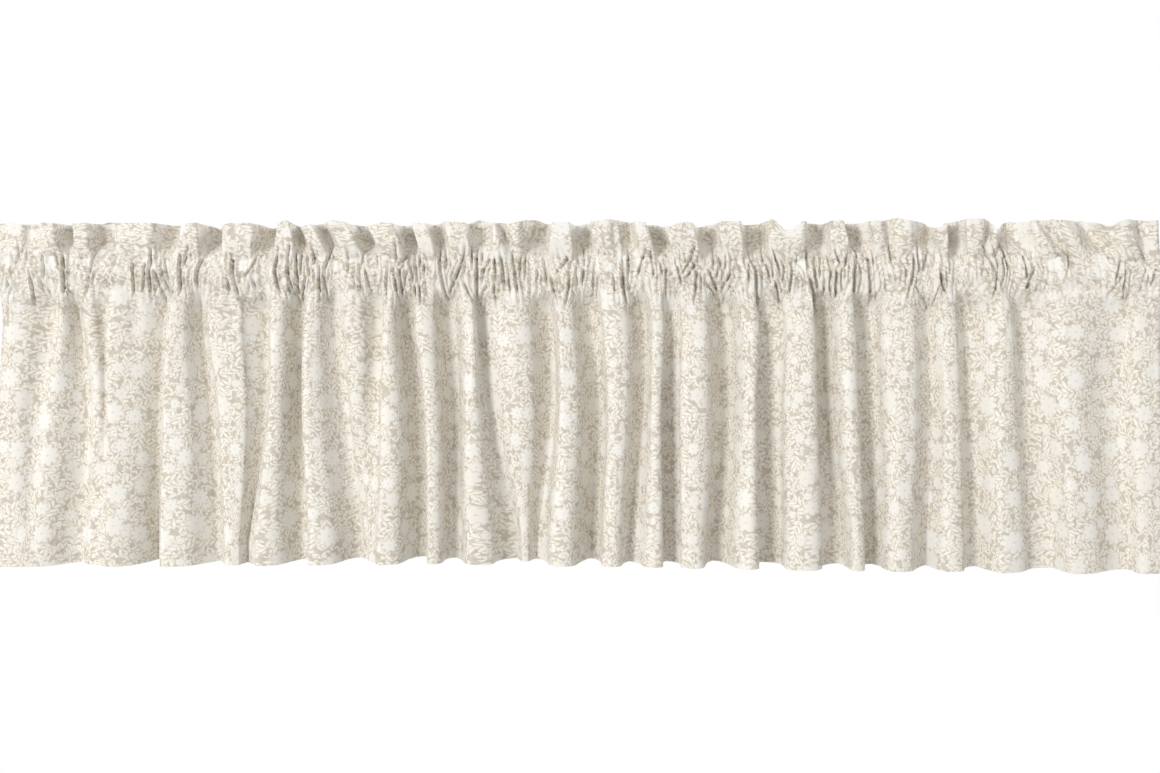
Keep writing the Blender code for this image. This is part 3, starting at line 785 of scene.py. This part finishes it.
class SheetMesh:
    """Collects rows of points with their places on the flat cloth, and the faces between them."""

    def __init__(self):
        self.points = []
        self.flat = []
        self.faces = []
        self.materials = []
        self.count = 0

    def row(self, points, flat_x, flat_y):
        first = self.count
        self.points.append(points)
        self.flat.append(np.column_stack((flat_x, np.full(len(points), flat_y))))
        self.count += len(points)
        return np.arange(first, self.count)

    def add_faces(self, faces, material, turned=False):
        faces = np.array(faces)
        self.faces.extend((faces[:, ::-1] if turned else faces).tolist())
        self.materials.extend([material] * len(faces))

    def strip(self, upper, lower, material, turned=False):
        """Joins two rows, of which the upper may have several times the lower's columns."""
        times = (len(upper) - 1) // (len(lower) - 1)
        between = [upper[step:-1:times] for step in range(times - 1, 0, -1)]
        corners = (upper[:-times:times], lower[:-1], lower[1:], upper[times::times], *between)
        self.add_faces(np.column_stack(corners), material, turned)

    def strips(self, rows, material, turned=False):
        for upper, lower in zip(rows, rows[1:]):
            self.strip(upper, lower, material, turned)

    def build(self, name):
        data = bpy.data.meshes.new(name)
        data.from_pydata(np.concatenate(self.points).tolist(), [], self.faces)
        data.polygons.foreach_set("material_index", self.materials)
        corner_points = np.zeros(len(data.loops), dtype=np.int32)
        data.loops.foreach_get("vertex_index", corner_points)
        flat = np.concatenate(self.flat)[corner_points]
        flat_map = data.uv_layers.new(name=CLOTH_MAP)
        flat_map.data.foreach_set("uv", flat.astype(np.float32).ravel())
        data.shade_smooth()
        data.update()
        return data


class HeadingPrint:
    """Places on the flat cloth of the columns, which in the heading are even within each fold."""

    def __init__(self, steps, fine):
        self.skirt = lengths_along(main_line(PRINT_HEIGHT, fine))
        own = lengths_along(main_line(FRILL_PRINT_HEIGHT, fine))
        floors = np.cumsum(steps)[1::2] * FINE
        anchors = np.concatenate(([0], floors, [len(own) - 1]))
        self.heading = np.interp(own, own[anchors], self.skirt[anchors])

    def at(self, height):
        return mixed(self.skirt, self.heading, read_table(-height, HEADING_PRINT_SHARES))


def build_cloth():
    """The whole cloth: a thin closed sheet whose pocket is hollow and open at both ends."""
    folds = len(FOLDS) * 2 + 2
    probe_line = main_line(PRINT_HEIGHT, make_columns([PROBE_STEPS] * folds))
    fold_lengths = np.diff(lengths_along(probe_line)[::PROBE_STEPS])
    steps = [max(LEAST_STEPS, round(length / SKIRT_SPACING)) for length in fold_lengths]
    plain = make_columns(steps)
    fine = make_columns([FINE * step for step in steps])
    print_places = HeadingPrint(steps, fine)
    fine_flat = print_places.skirt
    plain_flat = fine_flat[::FINE]
    mesh = SheetMesh()
    front = []
    back = []
    for height in (*FRILL_ROWS, UPPER_SEAM, *BAND_ROWS, LOWER_SEAM):
        in_band = LOWER_SEAM < height < UPPER_SEAM
        sides = band_row(height, fine) if in_band else sheet_row(height, fine, fine_flat)
        flat_x = print_places.at(height)
        front.append(mesh.row(sides[0], flat_x, -height))
        back.append(mesh.row(sides[1][::FINE], flat_x[::FINE], height - TURNED_PRINT_SHIFT))
    mesh.strips(front, FACE_SIDE)
    mesh.strips(back, FACE_SIDE, turned=True)
    mesh.strip(front[0], back[0], FACE_SIDE, turned=True)

    low_heights = np.linspace(TOP_OF_SKIRT_ROWS[-1], HEM_TURN_HEIGHT, LOW_SKIRT_STEPS + 1)[1:]
    skirt_front = front[-1:]
    skirt_back = back[-1:]
    for place, height in enumerate((*TOP_OF_SKIRT_ROWS, *low_heights, -DROP)):
        is_fine = height > FINE_DOWN_TO
        columns, flat_x, step = (fine, fine_flat, FINE) if is_fine else (plain, plain_flat, 1)
        sides = sheet_row(height, columns, flat_x)
        skirt_front.append(mesh.row(sides[0], flat_x, -height))
        if place % 2:
            skirt_back.append(mesh.row(sides[1][::step], plain_flat, -height))
    mesh.strips(skirt_front, FACE_SIDE)
    mesh.strips(skirt_back, REVERSE_SIDE, turned=True)
    mesh.strip(skirt_front[-1], skirt_back[-1], FACE_SIDE)

    hollow = add_hollow(mesh, plain_flat[np.append(0, np.cumsum(steps))])
    for end in (0, -1):
        close_heading_end(mesh, front, back, hollow, end)
        close_skirt_end(mesh, skirt_front, skirt_back, end)
    return mesh, front + skirt_front[1:], back + skirt_back[1:]


def add_hollow(mesh, flat_x):
    """The pocket's inside, with one column for each crest and floor: its front and back rows."""
    columns = make_columns([1] * (len(flat_x) - 1))

    def row(height, half_depth, print_height):
        x = main_line(height, columns)[:, 0]
        points = np.column_stack((x, np.full(len(x), half_depth), np.full(len(x), height)))
        return mesh.row(points, flat_x, -print_height)

    top = row(UPPER_SEAM - APEX_INSET, 0.0, UPPER_SEAM)
    low = row(LOWER_SEAM + APEX_INSET, 0.0, LOWER_SEAM)
    sides = []
    for half_depth in (-HOLLOW_HALF_DEPTH, HOLLOW_HALF_DEPTH):
        shoulders = (UPPER_SEAM - POCKET_SHOULDER, LOWER_SEAM + POCKET_SHOULDER)
        rows = [top, *(row(height, half_depth, height) for height in shoulders), low]
        mesh.strips(rows, REVERSE_SIDE, turned=half_depth < 0)
        sides.append(rows)
    return sides


def close_heading_end(mesh, front, back, hollow, end):
    """Closes the heading's side edge, and leaves the pocket open there."""
    turned = end == -1
    upper = len(FRILL_ROWS)
    front = [row[end] for row in front]
    back = [row[end] for row in back]
    for place in range(upper):
        corners = (back[place], back[place + 1], front[place + 1], front[place])
        mesh.add_faces([corners], FACE_SIDE, turned)
    for outer, rows, flip in ((front, hollow[0], False), (back, hollow[1], True)):
        inner = [row[end] for row in rows]
        mesh.add_faces([inner + outer[upper:][::-1]], FACE_SIDE, turned != flip)
    mesh.add_faces([(front[upper], back[upper], hollow[1][0][end])], FACE_SIDE, turned)
    mesh.add_faces([(back[-1], front[-1], hollow[1][-1][end])], FACE_SIDE, turned)


def close_skirt_end(mesh, front, back, end):
    """Closes the skirt's side edge, where the front has two rows for each row of the back."""
    for place in range(len(back) - 1):
        forward = (front[2 * place + 2][end], front[2 * place + 1][end], front[2 * place][end])
        corners = (back[place][end], back[place + 1][end], *forward)
        mesh.add_faces([corners], FACE_SIDE, turned=end == -1)


class Value:
    """A shader socket that takes part in sums, so that a pattern reads as its formula."""

    def __init__(self, maker, socket):
        self.maker = maker
        self.socket = socket

    def __add__(self, other):
        return self.maker.math("ADD", self, other)

    def __sub__(self, other):
        return self.maker.math("SUBTRACT", self, other)

    def __rsub__(self, other):
        return self.maker.math("SUBTRACT", other, self)

    def __mul__(self, other):
        return self.maker.math("MULTIPLY", self, other)

    def __truediv__(self, other):
        return self.maker.math("DIVIDE", self, other)

    def __rtruediv__(self, other):
        return self.maker.math("DIVIDE", other, self)


class NodeMaker:
    """Adds shader nodes, and sets or joins their inputs."""

    def __init__(self, tree):
        self.tree = tree
        self.made = 0

    def add(self, kind, inputs=None, **settings):
        """A new node's outputs by name, with its inputs given by name or number."""
        node = self.tree.nodes.new(kind)
        node.location = (NODE_WIDE * (self.made % NODES_IN_ROW), -NODE_TALL * (self.made // NODES_IN_ROW))
        self.made += 1
        for name, value in settings.items():
            setattr(node, name, value)
        self.fill(node, inputs or {})
        return {socket.name: Value(self, socket) for socket in node.outputs if socket.enabled}

    def fill(self, node, inputs):
        for name, value in inputs.items():
            if isinstance(value, Value):
                self.tree.links.new(value.socket, node.inputs[name])
            else:
                node.inputs[name].default_value = value

    def math(self, operation, *values):
        return self.add("ShaderNodeMath", dict(enumerate(values)), operation=operation)["Value"]

    def vector(self, operation, *values):
        return self.add("ShaderNodeVectorMath", dict(enumerate(values)), operation=operation)["Vector"]

    def length(self, x, y):
        vector = self.add("ShaderNodeCombineXYZ", {"X": x, "Y": y})["Vector"]
        return self.add("ShaderNodeVectorMath", {0: vector}, operation="LENGTH")["Value"]

    def separate(self, vector):
        return tuple(self.add("ShaderNodeSeparateXYZ", {0: vector}).values())

    def step(self, value, low, high):
        """0 under low, 1 over high, smooth between."""
        inputs = {"Value": value, "From Min": low, "From Max": high}
        return self.add("ShaderNodeMapRange", inputs, interpolation_type="SMOOTHSTEP")["Result"]

    def mix(self, share, first, second):
        inputs = {"Factor": share, 6: first, 7: second}
        return self.add("ShaderNodeMix", inputs, data_type="RGBA")["Result"]

    def noise(self, vector, scale, detail):
        inputs = {"Vector": vector, "Scale": scale, "Detail": detail, "Roughness": 0.5}
        return self.add("ShaderNodeTexNoise", inputs, noise_dimensions="2D")

    def bump(self, height, strength, distance):
        inputs = {"Height": height, "Strength": strength, "Distance": distance}
        return self.add("ShaderNodeBump", inputs)["Normal"]


def new_group(name, columns, outputs):
    """A node group with the flat place and a layer's sizes going in, and plain numbers coming out."""
    group = bpy.data.node_groups.new(name, "ShaderNodeTree")
    for label in ("Flat", *columns):
        kind = "NodeSocketVector" if label in ("Flat", "Shift") else "NodeSocketFloat"
        group.interface.new_socket(label, in_out="INPUT", socket_type=kind)
    for label in outputs:
        group.interface.new_socket(label, in_out="OUTPUT", socket_type="NodeSocketFloat")
    maker = NodeMaker(group)
    return group, maker, maker.add("NodeGroupInput")


def finish_group(maker, given, inside, **others):
    """Gives out a motif and its halo from how far inside the motif a place is, and the rest."""
    low_edge = given["Edge"] * -1.0
    motif = maker.step(inside, low_edge, given["Edge"])
    halo = maker.step(inside + given["Halo"], low_edge, given["Edge"])
    maker.add("NodeGroupOutput", {"Motif": motif, "Halo": halo, **others})


def scattered(maker, given):
    """The nearest motif of a scattered layer: the place seen from its middle, its turn, and chances."""
    shifted = maker.vector("ADD", given["Flat"], given["Shift"])
    inputs = {"Vector": shifted, "Scale": 1.0 / given["Spacing"], "Randomness": given["Scatter"]}
    cells = maker.add("ShaderNodeTexVoronoi", inputs, voronoi_dimensions="2D", feature="F1")
    x, y, _ = maker.separate(maker.vector("SUBTRACT", shifted, cells["Position"]))
    turn, chance, other = maker.separate(cells["Color"])
    return x, y, turn * (2 * math.pi), chance, other


# The print's layers, from the ground up: a row for each layer. Lengths are real sizes on the
# flat cloth, and Spread is the angle between a leaf and its stem.
LEAF_COLUMNS = (
    "Spacing", "Scatter", "Length", "Width", "Spread", "Pitch", "First", "Last", "Edge", "Halo", "Shift",
)
LEAF_LAYERS = (
    (0.0092, 1.0, 0.0076, 0.0026, 0.60, 1.0, 0.0, 0.0, 0.0005, 0.0004, (5.83, 1.91, 0.0)),
    (0.0094, 1.0, 0.0088, 0.0030, 0.85, 1.0, 0.0, 0.0, 0.0006, 0.0005, (1.37, 3.11, 0.0)),
    (0.0150, 0.9, 0.0122, 0.0037, 0.50, 1.0, 0.0, 0.0, 0.0005, 0.0007, (4.21, 0.77, 0.0)),
    (0.0290, 0.8, 0.0118, 0.0037, 0.70, 0.007, -2.0, 1.0, 0.0005, 0.0007, (2.63, 5.19, 0.0)),
)
FLOWER_COLUMNS = (
    "Spacing", "Scatter", "Radius", "Petals", "More Petals", "Petal Width", "Heart", "Dot", "Edge", "Halo",
    "Shift",
)
FLOWER_LAYERS = (
    (0.034, 0.90, 0.0046, 5.0, 1.0, 0.95, 0.40, 0.0006, 0.0005, 0.0007, (6.41, 2.39, 0.0)),
    (0.045, 0.70, 0.0086, 6.0, 2.0, 0.96, 0.48, 0.0010, 0.0006, 0.0008, (3.87, 7.43, 0.0)),
    (0.050, 0.62, 0.0128, 7.0, 2.0, 1.02, 0.56, 0.0013, 0.0007, 0.0009, (8.09, 4.57, 0.0)),
)

# A flower's petals are ellipses: their middle, half length and widest place, as shares of the
# flower's radius
PETAL_MIDDLE = 0.58
PETAL_HALF_LENGTH = 0.42
PETAL_WIDEST_AT = 0.60

# The smallest motif of a layer, and how much larger the others may be, as shares of its size
LEAST_FLOWER, MORE_FLOWER = 0.80, 0.35
LEAST_LEAF, MORE_LEAF = 0.76, 0.45


def make_flower_group():
    """Open flowers with separate round petals, scattered one to a cell."""
    outputs = ("Motif", "Halo", "Dot", "Tone")
    group, maker, given = new_group("scattered flowers", FLOWER_COLUMNS, outputs)
    x, y, turn, chance, other = scattered(maker, given)
    size = given["Radius"] * (other * MORE_FLOWER + LEAST_FLOWER)
    radius = maker.length(x, y)
    angle = maker.math("ARCTAN2", y, x) + turn
    petals = maker.math("ROUND", chance * given["More Petals"] + given["Petals"])
    petal_angle = 2 * math.pi / petals
    in_petal = (maker.math("FRACT", angle / petal_angle) - 0.5) * petal_angle
    along = radius * maker.math("COSINE", in_petal)
    along = (along - size * PETAL_MIDDLE) / (size * PETAL_HALF_LENGTH)
    half_wide = maker.math("TANGENT", petal_angle * 0.5) * (size * PETAL_WIDEST_AT)
    half_wide = half_wide * given["Petal Width"]
    across = radius * maker.math("SINE", in_petal) / half_wide
    in_ellipse = (1.0 - maker.length(along, across)) * half_wide
    in_heart = size * given["Heart"] - radius
    edge = given["Edge"]
    dot = maker.step(given["Dot"] - radius, edge * -1.0, edge)
    finish_group(maker, given, maker.math("MAXIMUM", in_ellipse, in_heart), Dot=dot, Tone=chance)
    return group


def make_leaf_group():
    """Pairs of lens-shaped leaves, alone or several along a stem, scattered one sprig to a cell."""
    group, maker, given = new_group("scattered leaves", LEAF_COLUMNS, ("Motif", "Halo", "Tone"))
    x, y, turn, chance, other = scattered(maker, given)
    half_size = (other * MORE_LEAF + LEAST_LEAF) * 0.5
    cosine = maker.math("COSINE", turn)
    sine = maker.math("SINE", turn)
    along = x * cosine + y * sine
    side = maker.math("ABSOLUTE", y * cosine - x * sine)
    number = maker.math("FLOOR", along / given["Pitch"])
    number = maker.math("MINIMUM", maker.math("MAXIMUM", number, given["First"]), given["Last"])
    along = along - number * given["Pitch"]
    cosine = maker.math("COSINE", given["Spread"])
    sine = maker.math("SINE", given["Spread"])
    down_leaf = along * cosine + side * sine
    off_leaf = side * cosine - along * sine
    half_length = given["Length"] * half_size
    from_middle = (down_leaf - half_length) / half_length
    half_width = given["Width"] * half_size * (1.0 - from_middle * from_middle)
    finish_group(maker, given, half_width - maker.math("ABSOLUTE", off_leaf), Tone=chance)
    return group


GROUND = (0.588, 0.537, 0.458, 1.0)
GROUND_DARK = (0.510, 0.464, 0.395, 1.0)
MOTTLE_SCALE = 160.0
MOTTLE_FROM, MOTTLE_TO = 0.35, 0.65
LEAF = (0.772, 0.728, 0.646, 1.0)
LEAF_PALE = (0.805, 0.768, 0.698, 1.0)
FLOWER = (0.752, 0.720, 0.656, 1.0)
FLOWER_PALE = (0.790, 0.770, 0.726, 1.0)
FLOWER_DOT = (0.600, 0.575, 0.530, 1.0)
DOT_SHARE = 0.75
FLOWER_HALO = 0.55
REVERSE_BASE = (0.740, 0.695, 0.615, 1.0)
REVERSE_PRINT_SHARE = 0.45
THREAD = (0.780, 0.740, 0.660, 1.0)
THREAD_DARK_SHARE = 0.86
THREAD_GRAIN_SCALE = 1500.0
THREAD_GRAIN_STRENGTH = 0.3
THREAD_GRAIN_DEPTH = 0.00005

# Gloss of the matt cloth, rougher on the slubs, and of the thread
CLOTH_ROUGHNESS = 0.82
SLUB_ROUGHNESS = 0.10
CLOTH_GLOSS = {"Specular IOR Level": 0.25, "Sheen Weight": 0.12, "Sheen Roughness": 0.6}
THREAD_GLOSS = {"Roughness": 0.7, "Sheen Weight": 0.2}

# The print's edges waver a little, as drawn by hand
HAND_DRAWN_SCALE = 95.0
HAND_DRAWN_SHIFT = 0.0006

# Plain weave: spacing of a yarn's two sides, and the slubs
YARN_PITCH = 0.00052
SLUB_SCALE = 900.0
SLUB_SHARE = 1.5
WEAVE_STRENGTH = 0.12
WEAVE_DEPTH = 0.00012


def print_colour(maker, flower_group, leaf_group, flat):
    """All-over print of flowers and leaves on the flat cloth."""
    wander = maker.noise(flat, HAND_DRAWN_SCALE, 1.0)["Color"]
    wander = maker.vector("SUBTRACT", wander, (0.5, 0.5, 0.5))
    wander = maker.vector("MULTIPLY", wander, (HAND_DRAWN_SHIFT,) * 3)
    drawn = maker.vector("ADD", flat, wander)
    mottle = maker.noise(flat, MOTTLE_SCALE, 3.0)["Fac"]
    ground = maker.mix(maker.step(mottle, MOTTLE_FROM, MOTTLE_TO), GROUND_DARK, GROUND)
    colour = ground
    for sizes in LEAF_LAYERS:
        inputs = dict(zip(LEAF_COLUMNS, sizes), Flat=drawn)
        made = maker.add("ShaderNodeGroup", inputs, node_tree=leaf_group)
        colour = maker.mix(made["Halo"], colour, ground)
        colour = maker.mix(made["Motif"], colour, maker.mix(made["Tone"], LEAF, LEAF_PALE))
    for sizes in FLOWER_LAYERS:
        inputs = dict(zip(FLOWER_COLUMNS, sizes), Flat=drawn)
        made = maker.add("ShaderNodeGroup", inputs, node_tree=flower_group)
        colour = maker.mix(made["Halo"] * FLOWER_HALO, colour, ground)
        flower = maker.mix(made["Tone"], FLOWER, FLOWER_PALE)
        flower = maker.mix(made["Dot"] * DOT_SHARE, flower, FLOWER_DOT)
        colour = maker.mix(made["Motif"], colour, flower)
    return colour


def new_material(name):
    material = bpy.data.materials.new(name)
    material.use_nodes = True
    return material, NodeMaker(material.node_tree), material.node_tree.nodes["Principled BSDF"]


def cloth_material(name, flower_group, leaf_group, reverse):
    material, maker, shader = new_material(name)
    flat = maker.add("ShaderNodeUVMap", uv_map=CLOTH_MAP)["UV"]
    colour = print_colour(maker, flower_group, leaf_group, flat)
    if reverse:
        colour = maker.mix(REVERSE_PRINT_SHARE, REVERSE_BASE, colour)
    x, y, _ = maker.separate(flat)
    warp = maker.math("SINE", x * (2 * math.pi / YARN_PITCH))
    weft = maker.math("SINE", y * (2 * math.pi / YARN_PITCH))
    slub = maker.noise(flat, SLUB_SCALE, 2.0)["Fac"]
    weave = maker.bump(slub * SLUB_SHARE + warp * weft, WEAVE_STRENGTH, WEAVE_DEPTH)
    roughness = slub * SLUB_ROUGHNESS + CLOTH_ROUGHNESS
    maker.fill(shader, {"Base Color": colour, "Roughness": roughness, "Normal": weave, **CLOTH_GLOSS})
    return material


def thread_material():
    material, maker, shader = new_material("sewing_thread")
    place = maker.add("ShaderNodeTexCoord")["Object"]
    grain = maker.add("ShaderNodeTexNoise", {"Vector": place, "Scale": THREAD_GRAIN_SCALE})["Fac"]
    darker = (*(THREAD_DARK_SHARE * part for part in THREAD[:3]), 1.0)
    colour = maker.mix(grain, darker, THREAD)
    grainy = maker.bump(grain, THREAD_GRAIN_STRENGTH, THREAD_GRAIN_DEPTH)
    maker.fill(shader, {"Base Color": colour, "Normal": grainy, **THREAD_GLOSS})
    return material


def stitch_faces():
    """The faces of one stitch, whose points are one end, two rings and the other end."""
    faces = []
    for number in range(STITCH_SIDES):
        low = 1 + number
        low_next = 1 + (number + 1) % STITCH_SIDES
        high = low + STITCH_SIDES
        high_next = low_next + STITCH_SIDES
        faces.append((0, low, low_next))
        faces.append((low, high, high_next, low_next))
        faces.append((high, 2 * STITCH_SIDES + 1, high_next))
    return faces


def stitches_along(path, facing):
    """The points of small pointed capsules, end to end along a line on the cloth's surface."""
    lengths = lengths_along(path)
    centres = np.arange(STITCH_PITCH, lengths[-1] - STITCH_PITCH, STITCH_PITCH)

    def read(distances, values):
        return np.column_stack([np.interp(distances, lengths, column) for column in values.T])

    away = np.column_stack((outward(path[:, :2]) * facing, np.zeros(len(path))))
    start = read(centres - STITCH_LENGTH / 2, path)
    end = read(centres + STITCH_LENGTH / 2, path)
    along = unit(end - start)
    out = read(centres, away)
    out = unit(out - along * np.sum(out * along, axis=1)[:, None])
    side = np.cross(along, out)
    base = read(centres, path) + out * STITCH_RADIUS * STITCH_LIFT_SHARE
    points = [start]
    for share in (-STITCH_RING_SHARE, STITCH_RING_SHARE):
        for number in range(STITCH_SIDES):
            turn = 2 * math.pi * number / STITCH_SIDES
            spoke = out * math.cos(turn) + side * math.sin(turn)
            points.append(base + along * STITCH_LENGTH * share + spoke * STITCH_RADIUS)
    points.append(end)
    return np.stack(points, axis=1).reshape(-1, 3)


def build_stitching(points, front, back):
    """Both rows of the heading and the hem's row, on the front and on the back."""
    seam_places = (len(FRILL_ROWS), len(FRILL_ROWS) + len(BAND_ROWS) + 1)
    stitches = []
    for rows, facing in ((front, -1), (back, 1)):
        row_heights = points[[row[0] for row in rows], 2]
        hem_place = int(np.argmin(np.abs(row_heights - (row_heights[-1] + HEM_STITCH_HEIGHT))))
        for place in (*seam_places, hem_place):
            stitches.append(stitches_along(points[rows[place]], facing))
    stitches = np.concatenate(stitches)
    firsts = range(0, len(stitches), 2 * STITCH_SIDES + 2)
    faces = [[first + corner for corner in face] for first in firsts for face in stitch_faces()]
    data = bpy.data.meshes.new("stitching")
    data.from_pydata(stitches.tolist(), [], faces)
    data.shade_smooth()
    data.update()
    return data


def add_object(name, data, *materials):
    for material in materials:
        data.materials.append(material)
    piece = bpy.data.objects.new(name, data)
    bpy.context.scene.collection.objects.link(piece)
    return piece


# The camera looks straight at the front. The picture is 1160 wide, and shows 1.492 m at the
# cloth, so one pixel is 1.286 mm.
PICTURE_WIDTH = 1160
METRES_PER_PIXEL = 0.001286
CAMERA_DISTANCE = 2.6
CAMERA_PLACE = (0.002, -CAMERA_DISTANCE, -0.215)
SENSOR_WIDTH = 36.0

# Light: white surroundings that give a dimmer light than they show, and two soft lamps, each
# with its place and power
AMBIENT = 0.78
LAMPS = {"key": ((-6.6, -10.0, 1.0), 880), "back": ((5.5, 6.5, 3.0), 450)}
LAMP_SIDE = 3.0
MIDDLE = (0, 0, -0.2)

FLOOR_LEFT, FLOOR_RIGHT = -2.5, 2.5
FLOOR_FRONT, FLOOR_BACK = -2.5, 1.6
FLOOR_HEIGHT = -1.25
FLOOR_GREY = (0.45, 0.45, 0.44, 1.0)
FLOOR_ROUGHNESS = 0.8


def add_camera():
    data = bpy.data.cameras.new("camera")
    data.sensor_width = SENSOR_WIDTH
    data.lens = SENSOR_WIDTH * CAMERA_DISTANCE / (PICTURE_WIDTH * METRES_PER_PIXEL)
    camera = add_object("camera", data)
    camera.location = CAMERA_PLACE
    camera.rotation_euler = (math.pi / 2, 0, 0)
    bpy.context.scene.camera = camera


def add_lamp(name, place, power):
    data = bpy.data.lights.new(name, "AREA")
    data.size = LAMP_SIDE
    data.energy = power
    lamp = add_object(name, data)
    lamp.location = place
    direction = Vector(MIDDLE) - Vector(place)
    lamp.rotation_euler = direction.to_track_quat("-Z", "Y").to_euler()


def add_surroundings():
    """A white backdrop, which lights the cloth less than it shows."""
    world = bpy.data.worlds.new("white_studio")
    world.use_nodes = True
    maker = NodeMaker(world.node_tree)
    seen = maker.add("ShaderNodeLightPath")["Is Camera Ray"]
    strength = seen * (1.0 - AMBIENT) + AMBIENT
    maker.fill(world.node_tree.nodes["Background"], {"Color": (1, 1, 1, 1), "Strength": strength})
    bpy.context.scene.world = world
    bpy.context.scene.view_settings.view_transform = "Standard"


def add_studio():
    add_surroundings()
    for name, (place, power) in LAMPS.items():
        add_lamp(name, place, power)
    near = [(x, FLOOR_FRONT, FLOOR_HEIGHT) for x in (FLOOR_LEFT, FLOOR_RIGHT)]
    far = [(x, FLOOR_BACK, FLOOR_HEIGHT) for x in (FLOOR_RIGHT, FLOOR_LEFT)]
    data = bpy.data.meshes.new("floor")
    data.from_pydata(near + far, [], [(0, 1, 2, 3)])
    paint, maker, shader = new_material("grey_floor")
    maker.fill(shader, {"Base Color": FLOOR_GREY, "Roughness": FLOOR_ROUGHNESS})
    add_object("floor", data, paint)


def main():
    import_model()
    add_camera()
    add_studio()

    mesh, front, back = build_cloth()
    points = np.concatenate(mesh.points)
    flower_group = make_flower_group()
    leaf_group = make_leaf_group()
    face_side = cloth_material("printed_cotton_face", flower_group, leaf_group, reverse=False)
    reverse_side = cloth_material("printed_cotton_reverse", flower_group, leaf_group, reverse=True)
    cloth = add_object("valance_cloth_sheet", mesh.build("valance_cloth_sheet"), face_side, reverse_side)
    stitching = add_object("stitching", build_stitching(points, front, back), thread_material())

    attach(cloth, "root")
    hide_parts("valance_cloth")
    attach(stitching, "root")


main()
